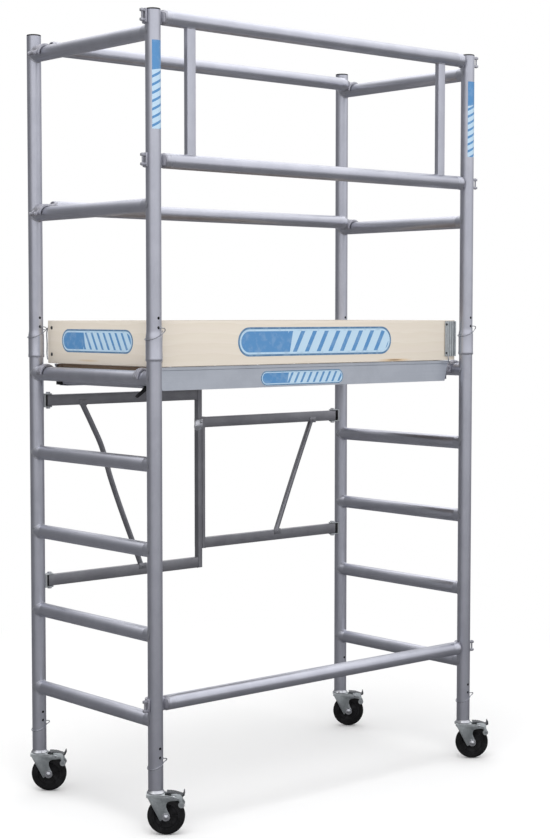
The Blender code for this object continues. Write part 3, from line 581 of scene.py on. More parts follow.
def makeLowerPost():  # a ring either side of each hole keeps the cut tidy
    foot, shoulder, top, spigot = (lowerPost[key] for key in ("foot", "shoulder", "top", "spigot"))
    low, high = lowerPost["holes"]
    outer, inner, halfway = tubeRadius, tubeRadius - tubeWall, (low + high) / 2
    profile = [(outer - 0.0004, foot), (outer, foot + 0.0005), (outer, low - 0.008), (outer, halfway),
               (outer, high + 0.008), (outer, shoulder), (spigot, shoulder), (spigot, top), (spigot - tubeWall, top),
               (spigot - tubeWall, 1.6), (inner, 1.59), (inner, high + 0.008), (inner, halfway),
               (inner, low - 0.008), (inner, foot)]
    return drillPost(makeTurned("lowerPost", profile, upright(-halfLong, -halfShort, 0)), (low, high))


def makeUpperPost():  # its foot is swaged out to slip over the post below
    foot, collar, collarTop, taperTop = (upperPost[key] for key in ("foot", "collar", "collarTop", "taperTop"))
    socket, lip, bore, top = (upperPost[key] for key in ("socket", "lip", "bore", "top"))
    low, high = upperPost["holes"]
    outer, inner, halfway = tubeRadius, tubeRadius - tubeWall, (low + high) / 2
    profile = [(lip - 0.001, foot), (lip, foot + 0.0015), (lip, collar - 0.003), (socket, collar), (socket, collarTop)]
    for step in range(1, 9):  # the smooth shoulder of the swage
        share = step / 8
        blend = share * share * (3 - 2 * share)
        profile.append((socket + (outer - socket) * blend, collarTop + (taperTop - collarTop) * share))
    profile += [(outer, low - 0.006), (outer, halfway), (outer, high + 0.008), (outer, top), (inner, top),
                (inner, high + 0.008), (inner, halfway), (inner, low - 0.006), (inner, taperTop - 0.006),
                (bore, collarTop + 0.008), (bore, foot)]
    return drillPost(makeTurned("upperPost", profile, upright(-halfLong, -halfShort, 0)), (low, high))


def makeWeld(name, ring, post, bead=0.0021, ripples=30):
    # a rippled bead where a rung along +Y leaves a post on the vertical axis
    clearSelection()
    bpy.ops.mesh.primitive_torus_add(major_segments=80, minor_segments=8, major_radius=ring, minor_radius=bead,
                                     rotation=(math.radians(90), 0, 0))
    item = settle(nameNew(name))
    for vertex in item.data.vertices:
        turn = math.atan2(vertex.co.z, vertex.co.x)
        core = Vector((math.cos(turn) * ring, 0, math.sin(turn) * ring))
        swollen = core + (vertex.co - core) * (1 + 0.22 * abs(math.sin(turn * ripples / 2)))
        swollen.y += math.sqrt(max(post * post - min(swollen.x * swollen.x, post * post), 0.0))
        vertex.co = swollen
    return item


shift = {corner: Matrix.Translation(postAxis[corner] - postAxis["front_left"]) for corner in corners}
lowerMaster = makeLowerPost()
upperMaster = makeUpperPost()
weldMaster = makeWeld("weld", rungRadius + 0.0003, tubeRadius)
facingBack = Matrix.Diagonal((1, -1, 1, 1))

for side, sign in (("left", -1), ("right", 1)):
    x = sign * halfLong
    ends = [corner for corner in corners if corner.endswith(side)]
    for label, master, node in (("ladder", lowerMaster, f"ladder_frame_{side}"),
                                ("guard", upperMaster, f"guard_frame_{side}")):
        posts = [copyPiece(master, f"{label}Post_{corner}", shift[corner]) for corner in ends]
        finishPiece(joined(f"{label}Posts_{side}", posts), "tubeZ", stands=(node,))
        rungs, welds = [], []
        for height in rungHeights[label]:
            reach = halfShort - 0.0055
            rungs.append(makeTube("rung", at(x, -reach, height), at(x, reach, height), rungRadius,
                                  grooves=(0.034,)))
            welds.append(copyPiece(weldMaster, "weld", upright(x, -halfShort, height)))
            welds.append(copyPiece(weldMaster, "weld", upright(x, halfShort, height) @ facingBack))
        finishPiece(joined(f"{label}Rungs_{side}", rungs), "tubeY")
        finishPiece(joined(f"{label}Welds_{side}", welds), "weldAlloy", smooth=60)

discard(lowerMaster, upperMaster, weldMaster)


def makePostCap():
    cap = {"flange": 0.0247, "plug": 0.0222, "depth": 0.02, "thick": 0.0048}
    top = cap["thick"]
    profile = [(0, -cap["depth"]), (cap["plug"] - 0.001, -cap["depth"]), (cap["plug"], -cap["depth"] + 0.001),
               (cap["plug"], 0.0003), (cap["flange"], 0.0003), (tubeRadius, 0.001), (tubeRadius, top - 0.0018),
               (tubeRadius - 0.0006, top - 0.0006), (tubeRadius - 0.002, top), (0.011, top), (0.01, top - 0.0007),
               (0, top - 0.0007)]
    return makeTurned("cap", profile, upright(-halfLong, -halfShort, upperPost["top"]))


capMaster = makePostCap()
for corner in corners:
    cap = copyPiece(capMaster, f"postCap_{corner}", shift[corner])
    finishPiece(cap, "blackPlastic", stands=(f"post_cap_{corner}",))
discard(capMaster)
print("ladder and guard frames made")


# Rail ends: a cast claw, its collar on the tube, and a sprung latch

claw = {"inner": 0.0256, "outer": 0.0345, "lip": -0.006, "half": 0.0225, "neckEnd": 0.048, "neckHalf": 0.0225,
        "neckWide": 0.02, "earGap": 0.0108, "earHalf": 0.019, "earRadius": 0.0078, "pivot": (-0.0445, -0.002),
        "pin": 0.0028, "rounding": 0.0016, "rib": 0.006}
latch = {"half": 0.0104, "eye": 0.0066, "rounding": 0.0011}


def makeClaw(name, place, lift):
    inner, outer, lip = claw["inner"], claw["outer"], claw["lip"]
    hook = ([(outer - 0.001, lip)] + arcPoints(outer, 0, 180, 22) + [(-outer + 0.0015, lip - 0.0002), (-inner, lip)]
            + arcPoints(inner, 180, 0, 22) + [(inner, lip)])
    parts = [makePlate(name, hook, -claw["half"], claw["half"], place, claw["rounding"])]
    neckTop = min(outer - 0.003, lift + claw["neckHalf"])
    neck = [(inner + 0.002, lip + 0.001), (0.036, lift - claw["neckHalf"] + 0.004),
            (claw["neckEnd"], lift - claw["neckHalf"]), (claw["neckEnd"], lift + claw["neckHalf"]),
            (inner - 0.004, neckTop)]
    parts.append(makePlate("neck", neck, -claw["neckWide"], claw["neckWide"], place, 0.0085, 5))
    collar = [(0.02, -0.012), (0.0232, -0.0115), (0.0246, -0.008), (0.0249, -0.004), (0.0249, 0.005),
              (0.024, 0.0064), (0.024, 0.008), (0.0248, 0.0094), (0.024, 0.01)]
    along = place @ axesAt((claw["neckEnd"], lift, 0), (0, 1, 0), (0, 0, 1))
    parts.append(makeTurned("collar", collar, along))
    ear = ([(-0.03, -0.005), (-0.0285, 0.0165), (-0.033, 0.0125), (-0.0385, 0.007)]
           + arcPoints(claw["earRadius"], 95, 262, 9, claw["pivot"]))
    for low, high in bothSides(claw["earGap"], claw["earHalf"]):
        parts.append(makePlate("ear", ear, low, high, place, 0.0009))
    middleRib = arcPoints(outer + 0.0008, 20, 150, 14) + arcPoints(outer - 0.003, 150, 20, 14)
    parts.append(makePlate("rib", middleRib, -claw["rib"], claw["rib"], place, 0.0007, 1))
    pin, head, half = claw["pin"], claw["pin"] + 0.0008, claw["earHalf"] + 0.0019
    side = [(pin, half - 0.0016), (head, half - 0.0012), (head, half), (0, half)]
    profile = [(radius, -height) for radius, height in reversed(side)] + side
    parts.append(makeTurned("pin", profile, movedBy(place, *claw["pivot"], 0), 16))
    return parts


def makeLatch(name, place):
    outline = (arcPoints(0.0315, 206, 236, 8) + arcPoints(0.0268, 236, 198, 10) + [(-0.034, -0.01),
               (-0.0368, -0.0068)] + arcPoints(latch["eye"], -20, 78, 7, claw["pivot"])
               + [(-0.0478, 0.0068), (-0.05, 0.0118), (-0.0522, 0.0122), (-0.0545, 0.0096)]
               + arcPoints(latch["eye"], 168, 252, 6, claw["pivot"]))
    item = makePlate(name, outline, -latch["half"], latch["half"], place, latch["rounding"])
    drillOut(item, movedBy(place, *claw["pivot"], 0), claw["pin"] + 0.0005, 0.04, 16)
    return item


def makeRailEnds(name, node, heights, y, wraps, lift):  # the claws of one rail, and a latch at each
    claws = []
    for level, height in heights.items():
        for side, sign in (("left", -1), ("right", 1)):
            place = axesAt(at(sign * halfLong, y, height), (-sign, 0, 0), wraps)
            claws += makeClaw("claw", place, lift)
            latchNode = f"{node}_latch_{level}_{side}"
            clasp = makeLatch(f"{name}Latch_{level}_{side}", place)
            finishPiece(clasp, "latchAlloy", latchNode, (latchNode,))
    finishPiece(joined(f"{name}Claws", claws), "castAlloy")


crimps = (0.0185, 0.026)  # from the tube's end, just past the collar


def makeRailTube(y, height, lift):
    reach = halfLong - claw["neckEnd"] + 0.006
    return makeTube("railTube", at(-reach, y, height + lift), at(reach, y, height + lift), tubeRadius, grooves=crimps)


frontRail = {"heights": {"upper": 2.6555, "lower": 2.1995}, "spacerX": 0.59, "spacer": (0.035, 0.02)}
frontTubes = [makeRailTube(-halfShort, height, 0) for height in frontRail["heights"].values()]
finishPiece(joined("guardRailTubes", frontTubes), "tubeX", stands=("front_guard_rail",))
makeRailEnds("guardRail", "front_guard_rail", frontRail["heights"], -halfShort, (0, 1, 0), 0)
spacers, spacerWelds = [], []
for sign in (-1, 1):
    wide, deep = frontRail["spacer"]
    low, high = frontRail["heights"]["lower"], frontRail["heights"]["upper"]
    x = sign * frontRail["spacerX"]
    spacers.append(makeBoxTube("spacer", at(x - wide / 2, -halfShort - deep / 2, low + 0.0215),
                               at(x + wide / 2, -halfShort + deep / 2, high - 0.0215), 2, rounding=0.0025))
    for seat, lean in ((low + 0.024, 1), (high - 0.024, -1)):
        w, d = wide / 2, deep / 2
        ring = [(-w, 0, 0.001), (0.002 - w, -d, -0.0008), (0, -d - 0.0004, -0.0008), (w - 0.002, -d, -0.0008),
                (w, 0, 0.001), (w - 0.002, d, -0.0008), (0, d + 0.0004, -0.0008), (0.002 - w, d, -0.0008),
                (-w, 0, 0.001)]
        route = [at(x + a, -halfShort + b, seat + lean * c) for a, b, c in ring]
        spacerWelds.append(makeWire("spacerWeld", route, 0.0017, 4, 2))
finishPiece(joined("guardRailSpacers", spacers), "tubeZ")
finishPiece(joined("guardRailWelds", spacerWelds), "weldAlloy", smooth=60)

otherRails = {"brace": ("front_brace", 0.4305, -halfShort, (0, 1, 0), 0),
              "rearMiddleRail": ("rear_middle_rail", rungHeights["guard"][0], 0.29, (0, 0, 1), 0.022),
              "rearTopRail": ("rear_top_rail", rungHeights["guard"][1], 0.29, (0, 0, 1), 0.022)}
for name, (node, height, y, wraps, lift) in otherRails.items():
    finishPiece(makeRailTube(y, height, lift * wraps[2]), "tubeX", stands=(node,)).name = f"{name}Tube"
    makeRailEnds(name, node, {"end": height}, y, wraps, lift)
print("rails, claws and latches made")


# Castors: all four alike, modelled at the front left post and copied

castor = {"heading": math.radians(-41), "axle": (0.034, 0.0625), "wheel": 0.0625, "tyreHalf": 0.015,
          "legIn": 0.0192, "legOut": 0.0222, "crownTop": 0.1381, "brakePin": (0.06, 0.1285)}
trailWay = (math.cos(castor["heading"]), math.sin(castor["heading"]), 0)
castorSide = axesAt(at(-halfLong, -halfShort, 0), trailWay, (0, 0, 1))  # local x along the trail, y up, z across
castorTop = axesAt(at(-halfLong, -halfShort, 0), trailWay, (-trailWay[1], trailWay[0], 0))
wheelPlace = movedBy(castorSide, *castor["axle"], 0)


def makeTyre():
    half, wheel = castor["tyreHalf"], castor["wheel"]
    side = [(0.045, 0.0118), (0.0462, 0.014), (0.049, half), (0.053, half), (0.056, 0.0146), (0.0588, 0.0132),
            (0.0606, 0.0108), (0.0619, 0.007), (wheel, 0.0024)]
    profile = side + [(radius, -width) for radius, width in reversed(side)]
    return makeTurned("tyre", profile, wheelPlace, 72)


def makeHub():
    hub = {"rim": 0.045, "rimIn": 0.0405, "web": 0.0035, "boss": 0.014, "bossHalf": 0.017, "bore": 0.0056,
           "ribs": 6}
    boss, inner, web = hub["boss"], hub["rimIn"], hub["web"]
    side = [(hub["bore"], hub["bossHalf"]), (boss - 0.002, hub["bossHalf"]), (boss, 0.015), (boss + 0.002, web + 0.002),
            (boss + 0.005, web), (inner - 0.004, web), (inner - 0.001, web + 0.002), (inner, 0.011),
            (inner + 0.001, 0.0124), (hub["rim"], 0.0124)]
    profile = side + [(radius, -width) for radius, width in reversed(side)]
    parts = [makeTurned("hub", profile, wheelPlace, 48)]
    rib = [(boss - 0.002, -0.0017), (inner + 0.001, -0.0014), (inner + 0.001, 0.0014), (boss - 0.002, 0.0017)]
    for number in range(hub["ribs"]):
        turn = Matrix.Rotation(math.tau * number / hub["ribs"], 4, "Z")
        parts.append(makePlate("rib", rib, -0.0085, 0.0085, wheelPlace @ turn, 0.0006, 1))
    return joined("hub", parts)


def makeFork():
    axleU, axleZ = castor["axle"]
    leg = ([(-0.0308, 0.1352), (-0.0302, 0.133), (0.013, 0.052), (0.017, 0.0485)]
           + arcPoints(0.0145, 215, 350, 12, (axleU, axleZ))
           + [(0.0455, 0.072), (0.0395, 0.083), (0.0352, 0.095), (0.0356, 0.105), (0.04, 0.1115),
              (0.048, 0.1148), (0.062, 0.116), (0.076, 0.1172), (0.0795, 0.1205), (0.0775, 0.1248),
              (0.064, 0.13), (0.045, 0.134)])
    parts = []
    for low, high in bothSides(castor["legIn"], castor["legOut"] - 0.0001):
        parts.append(makePlate("leg", leg, low, high, castorSide, 0.0008))
        face = high if high > 0 else low
        flange = [(0.015, 0.1326), (0.045, 0.13), (0.079, 0.1226), (0.0802, 0.1252), (0.045, 0.1336),
                  (0.015, 0.1358)]
        rim = (face - 0.0002, face + 0.003) if high > 0 else (face - 0.003, face + 0.0002)
        parts.append(makePlate("legFlange", flange, *rim, castorSide, 0.0005, 1))
    wide, thick, bend = castor["legOut"], 0.003, 0.0038
    top = castor["crownTop"]
    turns = arcPoints(bend, 180, 90, 5, (-wide + bend, top - bend))
    inside = arcPoints(bend - thick, 180, 90, 3, (-wide + bend, top - bend))
    half = [(-wide, 0.126), *turns], [*reversed(inside), (-wide + thick, 0.126)]
    other = [[(-a, b) for a, b in reversed(points)] for points in half]
    outline = half[0] + other[0] + other[1] + half[1]
    across = axesAt(at(-halfLong, -halfShort, 0), (trailWay[1], -trailWay[0], 0), (0, 0, 1))
    parts.append(makePlate("crown", outline, -0.031, 0.03, across, 0.0005, 1))
    race = [(0.008, 0.1262), (0.019, 0.1262), (0.0205, 0.129), (0.0212, 0.135), (0.008, 0.135)]
    parts.append(makeTurned("race", race, castorTop, 36))
    return joined("fork", parts)


def makeForkBolts():
    parts = []
    for way in (1, -1):
        turn = Matrix.Rotation(0 if way > 0 else math.pi, 4, "X")
        face = wheelPlace @ movedBy(turn, 0, 0, castor["legOut"])
        parts.append(hexHead("axleNut", face, 0.016, 0.003, 0.0009))
        parts.append(domeHead("axleDome", movedBy(face, 0, 0, 0.0036), 0.0062, 0.0038))
        pin = movedBy(castorSide, *castor["brakePin"], 0) @ turn
        parts.append(domeHead("brakePinHead", movedBy(pin, 0, 0, castor["legOut"]), 0.0046, 0.0022))
    parts.append(makeRod("axle", wheelPlace, 0.005, -0.0225, 0.0225, 20))
    parts.append(makeRod("brakePin", movedBy(castorSide, *castor["brakePin"], 0), 0.0028, -0.0225, 0.0225))
    king = movedBy(castorTop, 0, 0, 0.1262) @ Matrix.Rotation(math.pi, 4, "X")
    parts.append(hexHead("kingNut", king, 0.017, 0.0045))
    return joined("forkBolts", parts)


def makeStem():  # the race cup under the post, and the spigot inside it
    profile = [(0.006, 0.1386), (0.028, 0.1386), (0.0296, 0.1392), (0.0298, 0.1402), (0.029, 0.1418),
               (0.0272, 0.144), (0.026, 0.1458), (0.0254, 0.148), (0.0248, 0.1493), (0.0223, 0.1497), (0.0223, 0.2995),
               (0.006, 0.3)]
    return makeTurned("stem", profile, castorTop, 48)


def makeBrakeCheeks():
    cheek = ([(0.0515, 0.1385), (0.0522, 0.125), (0.064, 0.1195), (0.077, 0.115), (0.0785, 0.11)]
             + arcPoints(0.0105, 160, 410, 18, (0.085, 0.101))
             + [(0.0884, 0.114), (0.0872, 0.13), (0.083, 0.1352), (0.066, 0.1392)])
    parts = []
    for low, high in bothSides(0.016, 0.0182):
        plate = makePlate("cheek", cheek, low, high, castorSide, 0.0006)
        drillOut(plate, movedBy(castorSide, *castor["brakePin"], 0), 0.0033)
        parts.append(plate)
    for face, low, high in ((0.0182, 0.0, 0.0008), (-0.0182, -0.0008, 0.0)):
        eye = movedBy(castorSide, 0.085, 0.101, face)
        ring = [(0.005, low), (0.0098, low), (0.0098, high), (0.005, high)]
        parts.append(makeTurned("padEye", ring, eye, 24))
    bar = movedBy(castorSide, 0.078, 0.122, 0)
    parts.append(makeRod("brakeBar", bar, 0.003, -0.017, 0.017))
    return joined("brakeCheeks", parts)


def makePedal():
    tread = [(0.036, 0.1399), (0.048, 0.1392), (0.062, 0.1374), (0.076, 0.133), (0.085, 0.1296),
             (0.09, 0.1292), (0.0945, 0.1312), (0.0958, 0.135), (0.095, 0.1452), (0.0928, 0.1458),
             (0.0915, 0.144), (0.0914, 0.1365), (0.089, 0.1333), (0.085, 0.1333), (0.076, 0.1366),
             (0.063, 0.1408), (0.048, 0.1424), (0.0362, 0.1427)]
    parts = [makePlate("tread", tread, -0.018, 0.018, castorSide, 0.0008)]
    for u, z in ((0.05, 0.1422), (0.058, 0.1414), (0.066, 0.1397), (0.074, 0.1372)):
        ridge = movedBy(castorSide, u, z, 0)
        outline = arcPoints(0.0013, 0, 315, 7)
        parts.append(makePlate("ridge", outline, -0.015, 0.015, ridge))
    return joined("pedal", parts)


castorPieces = {
    "Stem": (makeStem(), "brightZinc", "bright_zinc", "root", "stem"),
    "Fork": (makeFork(), "galvanised", "galvanised", "swivel", "fork"),
    "Bolts": (makeForkBolts(), "brightZinc", "bright_zinc", "swivel", None),
    "Tyre": (makeTyre(), "tyreRubber", "rubber", "wheel", "wheel"),
    "Hub": (makeHub(), "blackPlastic", "black_plastic", "wheel", None),
    "BrakeCheeks": (makeBrakeCheeks(), "galvanised", "galvanised", "brake", "brake"),
    "BrakePedal": (makePedal(), "darkSteel", "galvanised", "brake", None),
}
for corner in corners:
    for label, (master, finish, slotName, body, node) in castorPieces.items():
        piece = copyPiece(master, f"castor{label}_{corner}", shift[corner])
        body = body if body == "root" else f"castor_{corner}_{body}"
        finishPiece(piece, finish, body, (f"castor_{corner}_{node}",) if node else ())
discard(*[master for master, *others in castorPieces.values()])
print("castors made")


# Folding side frame

fold = {"y": halfShort, "halfThick": 0.01, "halfTall": 0.02, "left": (0.755, 1.4), "right": (0.828, 1.293),
        "leftStile": (-0.0195, -0.0005), "rightStile": (0.0005, 0.0145), "stileHalf": 0.0125, "pin": 0.048,
        "railEnd": 0.0395, "diagonal": 0.01}
foldRoutes = {"left": [(-0.548, 1.388), (-0.5, 1.3), (-0.462, 1.225), (-0.42, 1.1), (-0.284, 0.768)],
              "right": [(0.574, 1.28), (0.48, 1.068), (0.384, 0.842)]}


def makeFlatEnds(x, y, z):  # the hammered-flat foot of a diagonal, riveted to its rail
    plate = makeBox("foot", at(x - 0.016, y - 0.0118, z - 0.011), at(x + 0.016, y - 0.0098, z + 0.011), 0.0008)
    rivet = domeHead("rivet", axesAt(at(x, y - 0.0118, z), (1, 0, 0), (0, 0, 1)), 0.0048, 0.0022)
    return [plate, rivet]


def makeFoldHalf(side, sign):
    heights = fold[side]
    stile = fold[f"{side}Stile"]
    y, thick, tall = fold["y"], fold["halfThick"], fold["halfTall"]
    outer, inner = sign * (halfLong - fold["railEnd"]), sum(stile) / 2 + sign * 0.004
    low, high = sorted((outer, inner))
    parts = [makeBoxTube("foldRail", at(low, y - thick, height - tall), at(high, y + thick, height + tall), 0)
             for height in heights]
    parts.append(makeBoxTube("stile", at(stile[0], y - fold["stileHalf"], heights[0] - tall),
                             at(stile[1], y + fold["stileHalf"], heights[1] + tall), 2))
    route = foldRoutes[side]
    parts.append(makeWire("diagonal", [at(x, y, z) for x, z in route], fold["diagonal"], 10, 6))
    for x, z in (route[0], route[-1]):
        parts += makeFlatEnds(x, y, z)
    edge = (stile[0] if sign < 0 else stile[1]) + sign * 0.001
    for height in heights:  # beads where the rails meet the stile
        for lift in (-tall, tall):
            bead = [at(edge, y + step * thick, height + lift) for step in (-1, 0, 1)]
            parts.append(makeWire("bead", bead, 0.0014, 3, 2))
    # its dark finish is painted shade, for the shade under the platform
    finishPiece(joined(f"foldFrame_{side}", parts), "foldTubePaintedShade", stands=(f"fold_frame_{side}",))


def makeFoldBracket(side, sign, level, height):
    place = axesAt(at(sign * halfLong, fold["y"], height), (-sign, 0, 0), (0, 1, 0))
    earLow, earHigh, pin = fold["halfTall"] + 0.0006, fold["halfTall"] + 0.0044, fold["pin"]
    ear = ([(0.0262, -0.0148), (pin - 0.004, -0.015)] + arcPoints(0.0146, -78, 78, 12, (pin - 0.0002, 0))
           + [(pin - 0.004, 0.015), (0.0262, 0.0148)])
    web = [(0.0292, -0.0148), (0.0292, 0.0148), (0.0212, 0.0148)]
    web += [arcPoints(0.0252, turn, turn, 1)[0] for turn in (32, 20, 8, -8, -20, -32)] + [(0.0212, -0.0148)]
    parts = [makePlate("ear", ear, *span, place, 0.0009) for span in bothSides(earLow, earHigh)]
    parts.append(makePlate("web", web[::-1], -earHigh, earHigh, place, 0.0007, 1))
    bolts = []
    for way in (1, -1):
        face = movedBy(place, pin, 0, 0) @ Matrix.Rotation(0 if way > 0 else math.pi, 4, "X")
        bolts.append(hexHead("pinHead", movedBy(face, 0, 0, earHigh), 0.0145, 0.0048, 0.0007))
    bolts.append(makeRod("pin", movedBy(place, pin, 0, 0), 0.005, -earHigh, earHigh, 20))
    name = f"{side}_{level}"
    finishPiece(joined(f"foldBracket_{name}", parts), "galvanised",
                stands=(f"fold_bracket_{name}",))
    finishPiece(joined(f"foldPin_{name}", bolts), "brightZinc")
    # a black block filling the slot between the bracket's web and the rail's end, which makes that slot dark
    spacer = makeBox(f"foldSlotBlock_{name}", at(sign * (halfLong - 0.0297), fold["y"] - 0.0096, height - 0.0196),
                     at(sign * (halfLong - 0.039), fold["y"] + 0.0096, height + 0.0196), 0.0012)
    finishPiece(spacer, "blackPlastic")


def makeCentreHinge():
    back = fold["y"] + fold["stileHalf"] + 0.0003
    low, high = fold["right"][0] - 0.015, fold["right"][1] + 0.015
    parts = [makeBox("leaf", at(-0.0175, back, low), at(-0.0045, back + 0.002, high), 0.0005, 1),
             makeBox("leaf", at(0.0045, back, low), at(0.0135, back + 0.002, high), 0.0005, 1)]
    knuckles = 13
    tall = (high - low) / knuckles
    profile = [(0.002, 0.0004), (0.0044, 0.0004), (0.0049, 0.001), (0.0049, tall - 0.001), (0.0044, tall - 0.0004),
               (0.002, tall - 0.0004)]
    for number in range(knuckles):
        parts.append(makeTurned("knuckle", profile, upright(0, back + 0.006, low + tall * number), 20))
        reach = -0.005 if number % 2 else 0.005
        parts.append(makeBox("tab", at(min(0, reach), back + 0.0015, low + tall * number + 0.001),
                             at(max(0, reach), back + 0.004, low + tall * (number + 1) - 0.001), 0.0004, 1))
    parts.append(makeRod("rod", upright(0, back + 0.006, low), 0.0022, 0, high - low, 14))
    for height in (low + 0.03, (low + high) / 2, high - 0.03):
        for x in (-0.0135, 0.0095):
            parts.append(domeHead("rivet", axesAt(at(x, back + 0.002, height), (0, 0, 1), (1, 0, 0)), 0.0034, 0.0014))
    finishPiece(joined("foldHinge", parts), "galvanised", stands=("fold_centre_hinge",))


def makeFoldLatch():
    face = -(fold["y"] - fold["stileHalf"] - 0.0003)
    place = axesAt(at(-0.008, 0, 1.296), (1, 0, 0), (0, 0, 1))
    flap = ([(0.008, -0.016), (0.0085, 0.006)] + arcPoints(0.012, 45, 110, 7)
            + [(-0.015, 0.0105), (-0.023, 0.006), (-0.029, -0.002), (-0.0325, -0.011), (-0.0335, -0.02),
               (-0.03, -0.028), (-0.024, -0.0322), (-0.016, -0.0338), (-0.006, -0.032), (0.001, -0.029),
               (0.0055, -0.023)])
    parts = [makePlate("flap", flap, face + 0.0005, face + 0.0028, place, 0.0007)]
    lip = [(-0.029, -0.002), (-0.0325, -0.011), (-0.0335, -0.02), (-0.03, -0.028), (-0.0282, -0.0268),
           (-0.0312, -0.0196), (-0.0303, -0.0116), (-0.027, -0.0034)]
    parts.append(makePlate("lip", lip, face + 0.0025, face + 0.0058, place, 0.0006))
    parts.append(hexHead("bolt", movedBy(place, 0, 0, face + 0.0028), 0.009, 0.0026, 0.0006))
    finishPiece(joined("foldLatch", parts), "brightZinc", "fold_latch", ("fold_latch",))


for side, sign in (("left", -1), ("right", 1)):
    makeFoldHalf(side, sign)
    for level, height in zip(("lower", "upper"), fold[side]):
        makeFoldBracket(side, sign, level, height)
makeCentreHinge()
makeFoldLatch()
print("folding side frame made")


# Platform

platform = {"top": 1.531, "under": 1.519, "web": 0.3, "lip": 0.304, "foot": 1.454, "ledge": 0.05, "slant": 0.25,
            "footEnd": 0.672, "hatchHalf": 0.262, "hatchEdge": -0.0475, "end": 0.684, "halfWide": 0.2965,
            "hinge": (-0.046, 1.5375), "endBeam": (0.656, 0.686), "bearer": 1.497, "wind": (0.7, 1.464),
            "windY": 0.24}


def makeSideBeam(name, node, side):
    web, lip, foot, top = platform["web"], platform["lip"], platform["foot"], platform["top"]
    ledge = web - platform["ledge"]
    outline = [(web - 0.0004, foot), (web, foot + 0.0004), (web, 1.5195), (lip, 1.5215), (lip, top), (web - 0.003, top),
               (web - 0.003, 1.5187), (ledge, 1.5187), (ledge, 1.5155), (web - 0.003, 1.5155),
               (web - 0.003, foot + 0.003), (ledge, foot + 0.003), (ledge, foot)]
    place = axesAt(at(0, 0, 0), (0, side, 0), (0, 0, 1))  # local z runs along the beam
    item = makePlate(name, outline, -0.7, 0.7, place)
    choose(item)
    bpy.ops.object.mode_set(mode="EDIT")
    for sign in (-1, 1):
        bpy.ops.mesh.select_all(action="SELECT")
        normal = Vector((sign, 0, -platform["slant"])).normalized()
        bpy.ops.mesh.bisect(plane_co=at(sign * platform["footEnd"], 0, foot), plane_no=normal, use_fill=True,
                            clear_outer=True)
    bpy.ops.object.mode_set(mode="OBJECT")
    finishPiece(item, "beamAlloy", stands=(node,))


def makeHook(name, place, low, high):  # the cast end that hangs over the bearer
    outline = ([(0.056, -0.0155), (0.056, 0.015), (0.04, 0.0225)] + arcPoints(0.0335, 40, 186, 20)
               + arcPoints(0.0256, 186, -38, 28))
    parts = [makePlate(name, outline, low, high, place, 0.0022, 3)]
    for offset in (0.005, -0.005):
        rib = arcPoints(0.035, 44, 170, 16) + arcPoints(0.0315, 170, 44, 16)
        centre = (low + high) / 2 + offset
        parts.append(makePlate("rib", rib, centre - 0.0018, centre + 0.0018, place, 0.0008, 1))
    for face, out in ((high, 1), (low, -1)):
        seat = movedBy(place, 0.0465, 0.0005, face)
        ring = [(0.006, 0.0), (0.015, 0.0), (0.015, out * 0.002), (0.0128, out * 0.0042), (0.0075, out * 0.0042),
                (0.006, out * 0.0028)]
        parts.append(makeTurned("boss", ring, seat, 32))
    return parts


def makeEndBeam(side, sign):
    low, high = sorted((sign * platform["endBeam"][0], sign * platform["endBeam"][1]))
    wide = platform["halfWide"]
    tube = makeBoxTube("endBeam", at(low, -wide, 1.46), at(high, wide, 1.512), 1, 0.003, 0.0025)
    hooks = []
    place = axesAt(at(sign * halfLong, 0, platform["bearer"]), (-sign, 0, 0), (0, 0, 1))
    for span in bothSides(0.27, 0.296):
        hooks += makeHook("hook", place, *span)
    lug = sign * platform["windY"]
    lugLow, lugHigh = sorted((lug - sign * 0.0045, lug))
    x0, x1 = sorted((sign * (platform["wind"][0] + 0.007), sign * (platform["endBeam"][1] - 0.002)))
    hooks.append(makeBox("lug", at(x0, lugLow, platform["wind"][1] - 0.007),
                         at(x1, lugHigh, platform["wind"][1] + 0.01), 0.001))
    pinPlace = axesAt(at(sign * platform["wind"][0], lug - sign * 0.0005, platform["wind"][1]), (1, 0, 0),
                      (0, 0, -sign))
    pin = [(0, 0), (0.004, 0), (0.004, 0.0235), (0.0034, 0.0243), (0, 0.0243)]
    hooks.append(makeTurned("windPin", pin, pinPlace, 20))
    finishPiece(tube, "tubeY", stands=(f"platform_{side}_beam",)).name = f"platformEndBeam_{side}"
    finishPiece(joined(f"platformHooks_{side}", hooks), "castAlloy")


def makeWindLock(side, sign):
    slope = math.radians(35)
    place = axesAt(at(sign * platform["wind"][0], 0, platform["wind"][1]),
                   (sign * math.cos(slope), 0, -math.sin(slope)), (sign * math.sin(slope), 0, math.cos(slope)))
    outline = (arcPoints(0.0085, 48, 312, 16) + [(0.02, -0.0052), (0.034, -0.005), (0.05, -0.004),
               (0.0522, -0.0022), (0.053, 0.0), (0.0518, 0.0022), (0.05, 0.0038), (0.03, 0.0046),
               (0.015, 0.005)])
    low, high = platform["windY"] + 0.006, platform["windY"] + 0.017
    if place.to_3x3().col[2].y * sign < 0:
        low, high = -high, -low
    lever = makePlate("windLock", outline, low, high, place, 0.0016, 3)
    drillOut(lever, movedBy(place, 0, 0, (low + high) / 2), 0.0046, sides=24)
    lever.name = f"windLock_{side}"
    finishPiece(lever, "blackPlastic", f"wind_lock_{side}", (f"wind_lock_{side}",))


